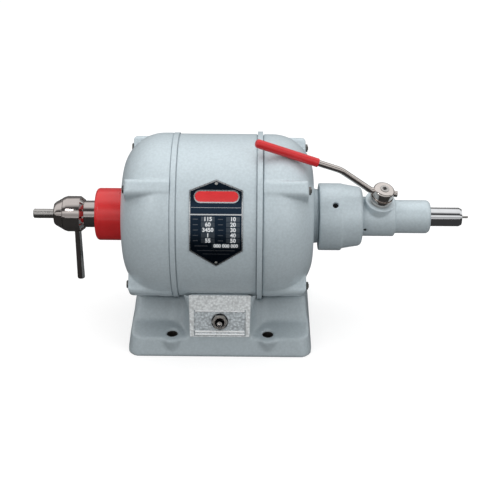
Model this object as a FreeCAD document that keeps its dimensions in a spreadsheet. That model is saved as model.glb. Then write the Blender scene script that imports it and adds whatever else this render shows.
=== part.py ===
import FreeCAD, Part
import math
import os
import re

import Sketcher
from FreeCAD import Placement, Rotation, Vector

# Bench polishing lathe for a dental laboratory.
# The shaft lies along X at the axis height, the operator stands on the -Y side, and Z points up.
# The origin is the centre of the bolt pattern, on the face that rests on the bench.

# Driving dimensions: millimetres, degrees, counts, and shares of another size
SIZES = {
    "Whole machine": {
        "axis_height": 122,
        "overrun": 2,
        "fit_gap": 0.05,
        "running_gap": 0.05,
        "seat_gap": 0.3,
    },
    "Stand": {
        "base_length": 187,
        "base_width": 156,
        "base_corner": 14,
        "flange_height": 22.4,
        "flange_inset_side": 3.1,
        "flange_inset_front": 9.6,
        "pad_drop": 4,
        "bolt_spacing_long": 97,
        "bolt_inset_cross": 16,
        "bolt_hole_radius": 5.5,
        "bolt_boss_radius": 13.5,
        "stand_height": 64,
        "shoulder_inset": 0.5,
        "shoulder_draft": 8.8,
        "shoulder_setback": 17.3,
        "shoulder_top_half_width": 13.9,
        "shoulder_corner": 6,
        "shoulder_ceiling": 31,
        "console_half_length": 33,
        "console_draft": 3,
        "console_setback": 2.6,
        "console_slope": 17.2,
        "console_corner": 3,
        "scallop_radius": 24,
        "stand_wall": 6,
        "hollow_setback": 36.5,
        "saddle_wall": 7,
        "bell_room": 1,
        "cavity_floor": 10,
        "cavity_step": 12,
    },
    "Bottom cover": {
        "cover_half_length": 86,
        "cover_overlap": 8.5,
        "cover_corner": 5,
        "cover_thickness": 1.5,
        "cover_recess": 2,
        "cover_screw_across": 76,
        "cover_screw_offset": 4.5,
        "cover_screw_radius": 1.9,
        "cover_screw_length": 9,
        "small_head_radius": 3.6,
        "cover_head_height": 0.4,
    },
    "Saddle bolts": {
        "saddle_bolt_spacing": 36,
        "saddle_bolt_radius": 4,
        "saddle_head_flats": 13,
        "saddle_head_height": 5.3,
        "saddle_bolt_bite": 8,
    },
    "Cord inlet": {
        "inlet_height": 30,
        "inlet_boss_radius": 11,
        "inlet_setback": 5,
        "inlet_hole_radius": 7.5,
        "inlet_bore_radius": 4.5,
        "bush_flange_radius": 10,
        "bush_flange_thickness": 2.5,
        "bush_length": 12,
    },
    "Switch": {
        "toggle_height": 35,
        "switch_recess_length": 52,
        "switch_recess_above": 12.2,
        "switch_recess_below": 15,
        "switch_recess_depth": 1.8,
        "switch_plate_thickness": 1.3,
        "bead_radius": 1.1,
        "upper_bead_rise": 10.9,
        "first_bead_drop": 10.6,
        "second_bead_drop": 13.6,
        "switch_body_length": 29,
        "switch_body_width": 14,
        "switch_body_depth": 20,
        "switch_neck_radius": 5.9,
        "switch_neck_reach": 4.6,
        "switch_pivot_depth": 5,
        "switch_throat_radius": 3.1,
        "switch_mouth_radius": 4.9,
        "switch_pocket_depth": 9,
        "switch_nut_flats": 14.3,
        "switch_nut_thickness": 2.4,
        "switch_washer_radius": 8.4,
        "switch_washer_thickness": 0.7,
        "toggle_ball_radius": 3,
        "toggle_pin_radius": 0.9,
        "toggle_pin_bite": 1.2,
        "toggle_neck_radius": 1.6,
        "toggle_tip_radius": 2.6,
        "toggle_reach": 14,
        "terminal_width": 6.3,
        "terminal_thickness": 0.8,
        "terminal_length": 8,
        "terminal_pitch": 9,
        "terminal_count": 3,
    },
    "Motor shell and end bells": {
        "shell_radius": 82.5,
        "shell_wall": 4,
        "shell_length": 76.9,
        "shell_shift": -2.55,
        "bell_length": 57,
        "bell_wall": 5,
        "dome_radius": 41.5,
        "rim_width": 6,
        "left_rim_rise": 1.1,
        "right_rim_rise": 2.6,
        "left_dome_rise": 0.8,
        "groove_width": 0.9,
        "groove_depth": 0.8,
        "spigot_length": 5,
        "spigot_wall": 4,
        "lug_width": 17,
        "left_lug_length": 50.5,
        "right_lug_length": 50.3,
        "lug_depth": 24,
        "lug_rise": 1.3,
        "lug_edge_radius": 5,
        "lug_count": 4,
        "lug_turn_angle": 45,
        "bearing_inset": 8,
        "bearing_seat_wall": 6,
        "bearing_seat_rim": 1,
        "shaft_room": 1.5,
        "left_spigot_radius": 16,
        "left_spigot_length": 6,
        "right_hub_radius": 27.5,
        "right_hub_length": 5.9,
        "right_spigot_radius": 24,
        "right_spigot_length": 20,
        "through_bolt_radius": 2,
        "through_head_flats": 7,
        "through_head_height": 2,
        "through_nut_thickness": 2.2,
        "through_bolt_end": 0.6,
    },
    "Stator": {
        "core_length": 50,
        "core_bore_radius": 40.3,
        "slot_count": 24,
        "slot_width": 6,
        "slot_depth": 18,
        "slot_lip": 1.7,
        "slot_lining": 0.3,
        "winding_overhang": 16,
        "bolt_notch_radius": 5,
    },
    "Rotor": {
        "rotor_radius": 39.8,
        "cage_ring_length": 7,
        "cage_ring_width": 9,
        "cage_bar_radius": 2,
        "cage_bar_inset": 4,
        "cage_bar_count": 28,
        "fan_blade_count": 8,
        "fan_blade_length": 8,
        "fan_blade_thickness": 2,
        "fan_blade_height": 7,
    },
    "Shaft": {
        "journal_radius": 8.5,
        "shaft_core_radius": 12,
        "chuck_seat_radius": 6.35,
        "chuck_seat_length": 30,
        "spindle_seat_radius": 7.5,
        "spindle_seat_length": 20,
        "journal_overhang": 4,
    },
    "Bearings": {
        "bearing_outer_radius": 20,
        "bearing_width": 12,
        "bearing_race_wall": 3.6,
        "bearing_ball_radius": 3.37,
        "bearing_ball_count": 8,
        "nose_bearing_outer_radius": 14,
        "nose_bearing_bore_radius": 7.5,
        "nose_bearing_width": 7,
        "nose_bearing_race_wall": 2,
        "nose_bearing_ball_radius": 2,
        "nose_bearing_ball_count": 10,
        "ball_gap": 0.08,
        "cage_wall": 1.2,
        "cage_rim": 0.9,
        "spring_washer_thickness": 1.7,
        "spring_washer_room": 2,
    },
    "Start switch": {
        "contact_plate_radius": 32,
        "contact_plate_bore": 15,
        "contact_plate_thickness": 2,
        "switch_collar_gap": 0.5,
        "switch_collar_length": 11,
        "switch_collar_wall": 3,
        "switch_collar_flange": 22,
        "switch_collar_flange_thickness": 3,
        "governor_gap": 4,
        "governor_radius": 26,
        "governor_thickness": 2.5,
        "governor_weight_length": 5,
        "governor_weight_inner_radius": 18,
    },
    "Guard collar": {
        "collar_radius": 26.6,
        "collar_length": 28.8,
        "collar_edge_radius": 4.2,
        "collar_screw_radius": 2,
        "collar_screw_along": 3.2,
    },
    "Chuck": {
        "chuck_neck_length": 12,
        "chuck_neck_radius": 13.6,
        "chuck_rear_gap": 2,
        "sleeve_length": 21.1,
        "sleeve_radius": 18.1,
        "sleeve_front_radius": 16.9,
        "sleeve_front_bevel": 3.6,
        "sleeve_rear_radius": 14.9,
        "sleeve_rear_bevel": 4.2,
        "sleeve_tooth_count": 14,
        "sleeve_tooth_width": 1.9,
        "sleeve_tooth_depth": 1.6,
        "sleeve_front_gap": 0.6,
        "chuck_nose_length": 10,
        "chuck_nose_rear_radius": 16.4,
        "chuck_nose_front_radius": 12,
        "chuck_nose_chamfer": 1.6,
        "mandrel_radius": 4.7625,
        "mandrel_shank_radius": 3.85,
        "mandrel_reach": 21.5,
        "mandrel_depth": 18,
        "mandrel_chamfer": 0.8,
        "jaw_radius": 2.6,
        "jaw_length": 17,
        "jaw_count": 3,
        "jaw_lean_angle": 8,
        "jaw_front_offset": 5.9,
        "jaw_setback": 0.6,
        "jaw_travel": 6,
        "jaw_grip_gap": 0.06,
        "tommy_pin_radius": 3.4,
        "tommy_pin_end_radius": 3.85,
        "tommy_pin_length": 60.4,
        "tommy_pin_tip": 1.2,
        "tommy_pin_seat": 14.2,
        "tommy_pin_setback": 4.4,
    },
    "Adaptor housing": {
        "adaptor_length": 44.1,
        "adaptor_band_length": 23.1,
        "adaptor_band_radius": 34.2,
        "adaptor_band_drop": 0.9,
        "adaptor_radius": 33,
        "adaptor_front_radius": 30.3,
        "adaptor_edge_radius": 5,
        "adaptor_wall": 8,
        "adaptor_front_wall": 9,
        "adaptor_screw_setback": 28.3,
        "adaptor_screw_radius": 2.9,
        "adaptor_screw_length": 6,
        "adaptor_screw_angle": 45,
        "adaptor_screw_count": 3,
    },
    "Nose housing": {
        "nose_thick_radius": 20.1,
        "nose_thick_length": 33.1,
        "nose_thin_radius": 16.9,
        "nose_thin_length": 36.2,
        "nose_step_chamfer": 1,
        "nose_edge_radius": 4.5,
        "nose_bore_radius": 16.5,
        "nose_lip": 5,
        "nose_lip_gap": 0.55,
        "nose_spigot_length": 9,
        "nose_spigot_step": 1,
        "nose_screw_along": 2.6,
        "nose_screw_radius": 1.5,
        "nose_screw_length": 3,
        "nose_screw_angle": -18,
        "nose_screw_count": 3,
    },
    "Spindle": {
        "spindle_radius": 9.525,
        "spindle_socket_radius": 12,
        "spindle_gap": 1.2,
        "spindle_socket_length": 28,
        "spindle_thread_radius": 6,
        "spindle_thread_length": 15.5,
        "spindle_thread_end_gap": 0.3,
        "spindle_reach": 32.3,
        "spindle_end_chamfer": 2.8,
        "spring_chamber_radius": 6.2,
        "spring_chamber_length": 21,
        "spring_inner_radius": 3.2,
        "spring_outer_radius": 6,
        "spring_thickness": 0.7,
        "spring_height": 1.7,
        "spring_count": 8,
    },
    "Collet and drawbar": {
        "drawbar_radius": 3,
        "drawbar_bore_gap": 0.1,
        "drawbar_nut_radius": 6,
        "drawbar_nut_thickness": 3.5,
        "collet_radius": 4.3,
        "collet_cone_radius": 5.5,
        "collet_cone_length": 7.5,
        "collet_length": 21.5,
        "collet_proud": 0.2,
        "collet_cone_gap": 0.08,
        "collet_slit": 0.6,
        "collet_slit_count": 3,
        "collet_slit_length": 12,
        "collet_stub_radius": 2,
        "collet_stub_length": 4,
        "shank_radius": 1.175,
        "shank_reach": 7,
        "shank_depth": 13,
        "shank_chamfer": 0.3,
        "release_travel": 0.8,
        "release_ring_radius": 14.5,
        "release_ring_length": 4,
        "release_pin_radius": 1.5,
        "thrust_sleeve_length": 19,
        "thrust_sleeve_gap": 0.15,
        "thrust_sleeve_bore_gap": 0.7,
        "thrust_groove_width": 5.4,
        "thrust_groove_depth": 4.2,
    },
    "Release lever": {
        "lever_place": 155.9,
        "lever_roll_angle": 19,
        "lever_lean_angle": 11,
        "lever_boss_radius": 15,
        "lever_boss_top": 22.5,
        "lever_boss_root": 12,
        "lever_stem_radius": 6,
        "lever_stem_end": 18.6,
        "cam_pin_radius": 2,
        "cam_pin_offset": 1.2,
        "cam_pin_end": 13.6,
        "lever_barrel_radius": 11.5,
        "lever_foot_radius": 10.6,
        "lever_foot_height": 2.5,
        "lever_barrel_top": 30.3,
        "lever_neck_radius": 10,
        "lever_neck_height": 1,
        "lever_head_radius": 10.7,
        "lever_head_top": 39.8,
        "lever_head_bevel": 2.6,
        "lever_screw_radius": 4.5,
        "lever_screw_length": 2.2,
        "lever_screw_socket": 1.3,
        "lever_rod_radius": 3.175,
        "lever_rod_height": 34.9,
        "lever_stub_reach": 14,
        "lever_first_bend": 13,
        "lever_first_bend_radius": 8,
        "lever_second_bend": 49,
        "lever_second_height": 55.4,
        "lever_tip_reach": 138,
        "lever_tip_height": 73.7,
        "lever_bend_radius": 24,
        "lever_rod_setback": 6,
        "grip_start_share": 0.275,
        "grip_radius": 4.4,
        "grip_end_radius": 3,
    },
    "Nameplate": {
        "plate_length": 51,
        "plate_thickness": 0.9,
        "plate_turn_angle": 20,
        "plate_half_height": 41.9,
        "plate_upper_shoulder": 32,
        "plate_lower_shoulder": 25.9,
        "rivet_radius": 1.6,
        "rivet_head_height": 0.8,
        "rivet_inset": 4.2,
    },
}

os.makedirs("parts", exist_ok=True)
doc = FreeCAD.newDocument("dental_polishing_lathe")
sheet = doc.addObject("Spreadsheet::Sheet", "Sizes")
row = 0
for heading, sizes in SIZES.items():
    row += 1
    sheet.set(f"A{row}", heading)
    for alias, number in sizes.items():
        row += 1
        sheet.set(f"A{row}", alias.replace("_", " "))
        sheet.set(f"B{row}", str(number))
        sheet.setAlias(f"B{row}", alias)
doc.recompute()
NAMES = {alias for sizes in SIZES.values() for alias in sizes}


# Formulas

def bound(formula):
    """Turn a formula of size names into an expression on the spreadsheet."""
    def on_sheet(word):
        return f"Sizes.{word.group()}" if word.group() in NAMES else word.group()
    return re.sub(r"[a-z_]+", on_sheet, formula)


def value(formula):
    """Work out a formula of size names."""
    number = sheet.evalExpression(bound(formula))
    return float(getattr(number, "Value", number))


# Stations along the shaft, from the mandrel's end to the bur's end
LEFT_JOINT = "(shell_shift - shell_length / 2)"
RIGHT_JOINT = "(shell_shift + shell_length / 2)"
LEFT_FACE = f"({LEFT_JOINT} - bell_length)"
RIGHT_FACE = f"({RIGHT_JOINT} + bell_length)"
COLLAR_END = f"({LEFT_FACE} - collar_length)"
SLEEVE_REAR = f"({COLLAR_END} - chuck_neck_length)"
SLEEVE_FRONT = f"({SLEEVE_REAR} - sleeve_length)"
CHUCK_FRONT = f"({SLEEVE_FRONT} - chuck_nose_length)"
CHUCK_REAR = f"({LEFT_FACE} - left_spigot_length - chuck_rear_gap)"
MANDREL_END = f"({CHUCK_FRONT} - mandrel_reach)"
HUB_END = f"({RIGHT_FACE} + right_hub_length)"
ADAPTOR_END = f"({HUB_END} + adaptor_length)"
NOSE_STEP = f"({ADAPTOR_END} + nose_thick_length)"
NOSE_END = f"({NOSE_STEP} + nose_thin_length)"
SPINDLE_END = f"({NOSE_END} + spindle_reach)"
LEFT_BEARING = f"({LEFT_FACE} + bearing_inset)"
RIGHT_BEARING = f"({RIGHT_FACE} - bearing_inset - bearing_width)"
NOSE_BEARING = f"({NOSE_END} - nose_lip - nose_bearing_width)"
CORE_LEFT = "(shell_shift - core_length / 2)"
CORE_RIGHT = "(shell_shift + core_length / 2)"
SPINDLE_START = f"({HUB_END} + right_spigot_length + spindle_gap)"
SHAFT_END = f"({SPINDLE_START} + spindle_seat_length)"
SOCKET_END = f"({SPINDLE_START} + spindle_socket_length)"
CHAMBER_END = f"({SHAFT_END} + spring_chamber_length)"
RING_START = f"({NOSE_STEP} - nose_step_chamfer - release_travel - release_ring_length - thrust_sleeve_gap)"
RING_MIDDLE = f"({RING_START} + release_ring_length / 2)"
THREAD_END = f"({NOSE_END} - nose_lip + spindle_thread_length)"
COLLET_FRONT = f"({SPINDLE_END} + collet_proud)"
COLLET_REAR = f"({COLLET_FRONT} - collet_length)"
DRAWBAR_START = f"({SHAFT_END} + release_travel)"
DRAWBAR_NUT_START = f"({DRAWBAR_START} + seat_gap)"
DRAWBAR_NUT_END = f"({DRAWBAR_NUT_START} + drawbar_nut_thickness)"
SHELL_BORE = "(shell_radius - shell_wall)"
LUG_CIRCLE = "(shell_radius - lug_width / 2)"
LEFT_DOME = "(shell_radius + left_dome_rise)"
LEFT_RIM = "(shell_radius + left_rim_rise)"
RIGHT_RIM = "(shell_radius + right_rim_rise)"

# Places across the stand, from its middle plane
BOLT_CROSS = "(base_width / 2 - bolt_inset_cross)"
SHOULDER_HALF = "(base_width / 2 - shoulder_setback)"
SHOULDER_SLOPE = f"({SHOULDER_HALF} - shoulder_top_half_width)"
CONSOLE_HALF = "(base_width / 2 - console_setback)"
CONSOLE_SHARE = "(console_slope / stand_height)"
CONSOLE_LEAN = f"atan({CONSOLE_SHARE})"
CONSOLE_FACE = f"({CONSOLE_HALF} - {CONSOLE_SHARE} * toggle_height)"
INLET_FACE = "(base_width / 2 - inlet_setback)"
HOLLOW_HALF = "(base_width / 2 - hollow_setback)"
COVER_HALF = f"({HOLLOW_HALF} + cover_overlap)"
COVER_SCREW = f"({HOLLOW_HALF} + cover_screw_offset)"


# Sketches and features

def new_body(label):
    piece = doc.addObject("PartDesign::Body", label)
    piece.Label = label
    return piece


def on_shaft(piece):
    """Lift a piece that was drawn about the X axis up to the shaft."""
    piece.setExpression("Placement.Base.z", bound("axis_height"))
    return piece


def sketch_on(piece, role, name, shift=("0", "0", "0"), turn=None):
    """Start a sketch on one of the body's own planes, moved and turned within the plane's own axes."""
    sketch = piece.newObject("Sketcher::SketchObject", name + "_sketch")
    plane = next(item for item in piece.Origin.OriginFeatures if item.Role == role)
    sketch.AttachmentSupport = [(plane, "")]
    sketch.MapMode = "FlatFace"
    if turn:
        sketch.AttachmentOffset = Placement(Vector(), Rotation(Vector(*turn[0]), 0))
        sketch.setExpression("AttachmentOffset.Rotation.Angle", bound(turn[1]))
    for axis, formula in zip("xyz", shift):
        if formula != "0":
            sketch.setExpression(f"AttachmentOffset.Base.{axis}", bound(formula))
    return sketch


def fix(sketch, line, point, across, up):
    """Tie one point of a sketch to the sketch's origin by two formulas."""
    for kind, formula, axis in (("DistanceX", across, -2), ("DistanceY", up, -1)):
        if formula == "0":
            sketch.addConstraint(Sketcher.Constraint("PointOnObject", line, point, axis))
        else:
            number = sketch.addConstraint(Sketcher.Constraint(kind, -1, 1, line, point, value(formula)))
            sketch.setExpression(f"Constraints[{number}]", bound(formula))


def outline(sketch, corners):
    """Draw a closed line through corners (across, up).

    A corner with a third formula is followed by an arc of that radius, which turns left, or right if
    the formula starts with a minus.
    """
    first = sketch.GeometryCount
    ends = []
    for index, corner in enumerate(corners):
        following = corners[(index + 1) % len(corners)]
        start = Vector(value(corner[0]), value(corner[1]), 0)
        end = Vector(value(following[0]), value(following[1]), 0)
        if len(corner) == 2:
            sketch.addGeometry(Part.LineSegment(start, end), False)
            ends.append((1, 2))
            continue
        side = -1 if corner[2].startswith("-") else 1
        radius = value(corner[2].lstrip("-"))
        chord = end - start
        depth = math.sqrt(max(radius ** 2 - chord.Length ** 2 / 4, 0))
        centre = (start + end) / 2 + Vector(-chord.y, chord.x, 0).normalize() * depth * side
        limits = [math.atan2(point.y - centre.y, point.x - centre.x) for point in (start, end)]
        circle_line = Part.Circle(centre, Vector(0, 0, 1), radius)
        sketch.addGeometry(Part.ArcOfCircle(circle_line, *limits[::side]), False)
        ends.append((1, 2)[::side])
    for index, corner in enumerate(corners):
        following = (index + 1) % len(corners)
        pair = (first + index, ends[index][1], first + following, ends[following][0])
        sketch.addConstraint(Sketcher.Constraint("Coincident", *pair))
        fix(sketch, first + index, ends[index][0], corner[0], corner[1])
        if len(corner) == 3:
            radius = corner[2].lstrip("-")
            number = sketch.addConstraint(Sketcher.Constraint("Radius", first + index, value(radius)))
            sketch.setExpression(f"Constraints[{number}]", bound(radius))
    return sketch


def circle(sketch, across, up, radius):
    centre = Vector(value(across), value(up), 0)
    line = sketch.addGeometry(Part.Circle(centre, Vector(0, 0, 1), value(radius)), False)
    fix(sketch, line, 3, across, up)
    number = sketch.addConstraint(Sketcher.Constraint("Radius", line, value(radius)))
    sketch.setExpression(f"Constraints[{number}]", bound(radius))
    return sketch


def rectangle(left, right, low, high):
    return [(left, low), (right, low), (right, high), (left, high)]


def rounded_rectangle(half_x, half_y, radius):
    return [
        (f"{radius} - {half_x}", f"-{half_y}"), (f"{half_x} - {radius}", f"-{half_y}", radius),
        (half_x, f"{radius} - {half_y}"), (half_x, f"{half_y} - {radius}", radius),
        (f"{half_x} - {radius}", half_y), (f"{radius} - {half_x}", half_y, radius),
        (f"-{half_x}", f"{half_y} - {radius}"), (f"-{half_x}", f"{radius} - {half_y}", radius),
    ]


def hexagon(across_flats):
    """Corners of a hexagon about the origin, two of them on the first axis."""
    corner = f"{across_flats} / sqrt(3)"
    flat = f"{across_flats} / 2"
    return [(corner, "0"), (f"{corner} / 2", flat), (f"-{corner} / 2", flat),
            (f"-{corner}", "0"), (f"-{corner} / 2", f"-{flat}"), (f"{corner} / 2", f"-{flat}")]


def turned(piece, name, corners, cut=False):
    """Revolve an outline of (along the shaft, from the shaft) about the X axis."""
    sketch = sketch_on(piece, "XZ_Plane", name)
    outline(sketch, corners)
    feature = piece.newObject("PartDesign::Groove" if cut else "PartDesign::Revolution", name)
    feature.Profile = sketch
    feature.ReferenceAxis = (sketch, ["H_Axis"])
    feature.Angle = 360
    return feature


def padded(piece, name, sketch, length, both=False, backward=False, cut=False):
    feature = piece.newObject("PartDesign::Pocket" if cut else "PartDesign::Pad", name)
    feature.Profile = sketch
    feature.SideType = "Symmetric" if both else "One side"
    feature.Reversed = backward
    feature.setExpression("Length", bound(length))
    return feature


def lofted(piece, name, low, high):
    feature = piece.newObject("PartDesign::AdditiveLoft", name)
    feature.Profile = low
    feature.Sections = [high]
    feature.Ruled = True
    return feature


def around(piece, name, features, count, role="X_Axis"):
    """Repeat features evenly about one of the body's own axes."""
    pattern = piece.newObject("PartDesign::PolarPattern", name)
    pattern.Originals = features
    pattern.Axis = (next(item for item in piece.Origin.OriginFeatures if item.Role == role), [""])
    pattern.Angle = 360
    pattern.setExpression("Occurrences", bound(count))
    piece.Tip = pattern
    return pattern


def rounded(piece, name, base, radius, chosen):
    """Round those edges of a feature for which chosen(edge) is true."""
    doc.recompute()
    edges = [f"Edge{number}" for number, edge in enumerate(base.Shape.Edges, 1) if chosen(edge)]
    feature = piece.newObject("PartDesign::Fillet", name)
    feature.Base = (base, edges)
    feature.setExpression("Radius", bound(radius))
    piece.Tip = feature
    return feature


def ring_at(along, radius):
    """Choose the circular edges about the X axis at one station and one radius."""
    place = value(along)
    size = value(radius)

    def chosen(edge):
        curve = edge.Curve
        if not isinstance(curve, Part.Circle):
            return False
        return abs(curve.Center.x - place) < size / 1e4 and abs(curve.Radius - size) < size / 1e4
    return chosen


def tube(label, start, end, inner, outer):
    piece = new_body(label)
    turned(piece, label + "_turning", rectangle(start, end, inner, outer))
    return on_shaft(piece)


def shape_piece(label, shape, placement=None):
    """Keep a shape made of Part's own solids as one piece of the document."""
    piece = doc.addObject("Part::Feature", label)
    piece.Label = label
    piece.Shape = shape
    piece.Placement = placement or Placement()
    return piece


def copies(shape, placements):
    """Place separate copies of one shape."""
    moved = []
    for placement in placements:
        copy = shape.copy()
        copy.Placement = placement.multiply(copy.Placement)
        moved.append(copy)
    return Part.makeCompound(moved)


# Directions about the shaft

def facing(along, radius, angle):
    """Place a piece drawn along Z so that it points outward from the shaft, angle degrees above -Y."""
    turn = Rotation(Vector(1, 0, 0), 90 - angle)
    return Placement(Vector(along, 0, value("axis_height")) + turn.multVec(Vector(0, 0, radius)), turn)


ALONG = Rotation(Vector(0, 1, 0), 90)


def prism(across_flats, height):
    corners = [Vector(across_flats / math.sqrt(3), 0, 0)]
    for side in range(1, 7):
        corners.append(Rotation(Vector(0, 0, 1), side * 60).multVec(corners[0]))
    return Part.Face(Part.makePolygon(corners)).extrude(Vector(0, 0, height))


def grub_screw(radius, length, socket):
    """Headless screw with a hexagon socket in its outer end at z = 0."""
    screw = Part.makeCylinder(radius, length, Vector(0, 0, -length))
    key = prism(radius, socket + value("overrun"))
    key.translate(Vector(0, 0, -socket))
    return screw.cut(key)


# Stand

def base_casting():
    """Hollow casting: flange with four sloping pads, shoulders, switch console and saddle."""
    piece = new_body("base_casting")
    low = sketch_on(piece, "XY_Plane", "flange_low")
    outline(low, rounded_rectangle("base_length / 2", "base_width / 2", "base_corner"))
    high = sketch_on(piece, "XY_Plane", "flange_high", ("0", "0", "flange_height"))
    top_length = "(base_length / 2 - flange_inset_side)"
    top_width = "(base_width / 2 - flange_inset_front)"
    outline(high, rounded_rectangle(top_length, top_width, "base_corner"))
    lofted(piece, "flange", low, high)

    bosses = sketch_on(piece, "XY_Plane", "bolt_bosses")
    for across in ("bolt_spacing_long / 2", "-bolt_spacing_long / 2"):
        for up in (BOLT_CROSS, "-" + BOLT_CROSS):
            circle(bosses, across, up, "bolt_boss_radius")
    padded(piece, "bolt_bosses", bosses, "flange_height")

    pad_start = f"({SHOULDER_HALF} - {SHOULDER_SLOPE} * flange_height / stand_height)"
    pad_end = "(base_width / 2)"
    pad_low = f"(flange_height - pad_drop * ({pad_end} - {pad_start}) / ({top_width} - {pad_start}))"
    for side, sign in (("front", "-"), ("back", "")):
        slope = sketch_on(piece, "YZ_Plane", side + "_pad_slope")
        outline(slope, [(f"{sign}{pad_start}", "flange_height"), (f"{sign}{pad_end}", pad_low),
                        (f"{sign}{pad_end}", "flange_height + overrun"),
                        (f"{sign}{pad_start}", "flange_height + overrun")])
        padded(piece, side + "_pad_slope", slope, "base_length + overrun", both=True, cut=True)

    low = sketch_on(piece, "XY_Plane", "shoulder_low")
    outline(low, rounded_rectangle("(base_length / 2 - shoulder_inset)", SHOULDER_HALF,
                                   "shoulder_corner"))
    high = sketch_on(piece, "XY_Plane", "shoulder_high", ("0", "0", "stand_height"))
    outline(high, rounded_rectangle("(base_length / 2 - shoulder_inset - shoulder_draft)",
                                    "shoulder_top_half_width", "shoulder_corner"))
    lofted(piece, "shoulders", low, high)

    low = sketch_on(piece, "XY_Plane", "console_low")
    outline(low, rounded_rectangle("console_half_length", CONSOLE_HALF, "console_corner"))
    high = sketch_on(piece, "XY_Plane", "console_high", ("0", "0", "stand_height"))
    outline(high, rounded_rectangle("(console_half_length - console_draft)",
                                    f"({CONSOLE_HALF} - console_slope)", "console_corner"))
    console = lofted(piece, "console", low, high)

    def scallop(edge):
        bounds = edge.BoundBox
        side = abs(bounds.Center.x) - value("console_half_length - console_draft / 2")
        return (bounds.ZLength > value("(stand_height - flange_height) / 2")
                and bounds.ZMax > value("stand_height - overrun")
                and abs(side) < value("overrun")
                and abs(bounds.Center.y) < value(SHOULDER_HALF))
    rounded(piece, "scallops", console, "scallop_radius", scallop)

    inlet = sketch_on(piece, "XZ_Plane", "inlet_boss")
    circle(inlet, "0", "inlet_height", "inlet_boss_radius")
    padded(piece, "inlet_boss", inlet, INLET_FACE, backward=True)

    saddle = sketch_on(piece, "XZ_Plane", "saddle", ("0", "axis_height", "0"))
    rim_left = f"({LEFT_JOINT} - rim_width - bell_room)"
    rim_right = f"({RIGHT_JOINT} + rim_width + bell_room)"
    far_left = f"({LEFT_FACE} - overrun)"
    far_right = f"({RIGHT_FACE} + overrun)"
    over_left_dome = f"({LEFT_DOME} + bell_room)"
    over_left_rim = f"({LEFT_RIM} + bell_room)"
    over_right_dome = "(shell_radius + bell_room)"
    over_right_rim = f"({RIGHT_RIM} + bell_room)"
    seat_radius = "(shell_radius + fit_gap)"
    outline(saddle, [(far_left, "0"), (far_right, "0"), (far_right, over_right_dome),
                     (rim_right, over_right_dome), (rim_right, over_right_rim),
                     (RIGHT_JOINT, over_right_rim), (RIGHT_JOINT, seat_radius),
                     (LEFT_JOINT, seat_radius), (LEFT_JOINT, over_left_rim), (rim_left, over_left_rim),
                     (rim_left, over_left_dome), (far_left, over_left_dome)])
    groove = piece.newObject("PartDesign::Groove", "saddle")
    groove.Profile = saddle
    groove.ReferenceAxis = (saddle, ["H_Axis"])
    groove.Angle = 360

    hollow = sketch_on(piece, "YZ_Plane", "shoulder_hollow")
    knee = f"(({SHOULDER_HALF} - stand_wall - {HOLLOW_HALF}) * stand_height / {SHOULDER_SLOPE})"
    wall_high = f"({SHOULDER_HALF} - stand_wall - {SHOULDER_SLOPE} * shoulder_ceiling / stand_height)"
    outline(hollow, [(f"-{HOLLOW_HALF}", "-overrun"), (HOLLOW_HALF, "-overrun"), (HOLLOW_HALF, knee),
                     (wall_high, "shoulder_ceiling"), (f"-{wall_high}", "shoulder_ceiling"),
                     (f"-{HOLLOW_HALF}", knee)])
    padded(piece, "shoulder_hollow", hollow, "base_length - shoulder_draft - 2 * stand_wall",
           both=True, cut=True)

    hollow = sketch_on(piece, "YZ_Plane", "console_hollow")
    mouth = f"({COVER_HALF} - cover_recess - fit_gap)"
    wall = f"({CONSOLE_HALF} - stand_wall)"
    belly = f"({wall} - {CONSOLE_SHARE} * (cavity_floor + cavity_step))"
    arch = "(shell_radius + saddle_wall)"
    lean = f"(1 + {CONSOLE_SHARE}^2)"
    middle = f"(axis_height + {CONSOLE_SHARE} * {wall})"
    beyond = f"{lean} * (axis_height^2 + {wall}^2 - {arch}^2)"
    spring = f"(({middle} - sqrt({middle}^2 - {beyond})) / {lean})"
    crown = f"({wall} - {CONSOLE_SHARE} * {spring})"
    outline(hollow, [(f"-{mouth}", "-overrun"), (mouth, "-overrun"), (mouth, "cavity_floor"),
                     (belly, "cavity_floor + cavity_step"), (crown, spring, f"-{arch}"),
                     (f"-{crown}", spring), (f"-{belly}", "cavity_floor + cavity_step"),
                     (f"-{mouth}", "cavity_floor")])
    padded(piece, "console_hollow", hollow, "2 * (console_half_length - console_draft / 2 - stand_wall)",
           both=True, cut=True)

    recess = sketch_on(piece, "XY_Plane", "cover_recess")
    outline(recess, rounded_rectangle("(cover_half_length + fit_gap)", f"({COVER_HALF} + fit_gap)",
                                      "cover_corner"))
    padded(piece, "cover_recess", recess, "cover_recess", backward=True, cut=True)

    holes = sketch_on(piece, "XY_Plane", "bolt_holes")
    for across in ("bolt_spacing_long / 2", "-bolt_spacing_long / 2"):
        for up in (BOLT_CROSS, "-" + BOLT_CROSS):
            circle(holes, across, up, "bolt_hole_radius")
    padded(piece, "bolt_holes", holes, "2 * (flange_height + overrun)", both=True, cut=True)

    holes = sketch_on(piece, "XY_Plane", "cover_screw_holes")
    for across in ("cover_screw_across", "-cover_screw_across"):
        for up in (COVER_SCREW, "-" + COVER_SCREW):
            circle(holes, across, up, "cover_screw_radius + fit_gap")
    padded(piece, "cover_screw_holes", holes, "cover_screw_length + overrun", backward=True, cut=True)

    holes = sketch_on(piece, "XY_Plane", "saddle_bolt_holes")
    for sign in ("-", "+"):
        circle(holes, f"shell_shift {sign} saddle_bolt_spacing / 2", "0", "saddle_bolt_radius + fit_gap")
    padded(piece, "saddle_bolt_holes", holes, "stand_height", backward=True, cut=True)

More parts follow.
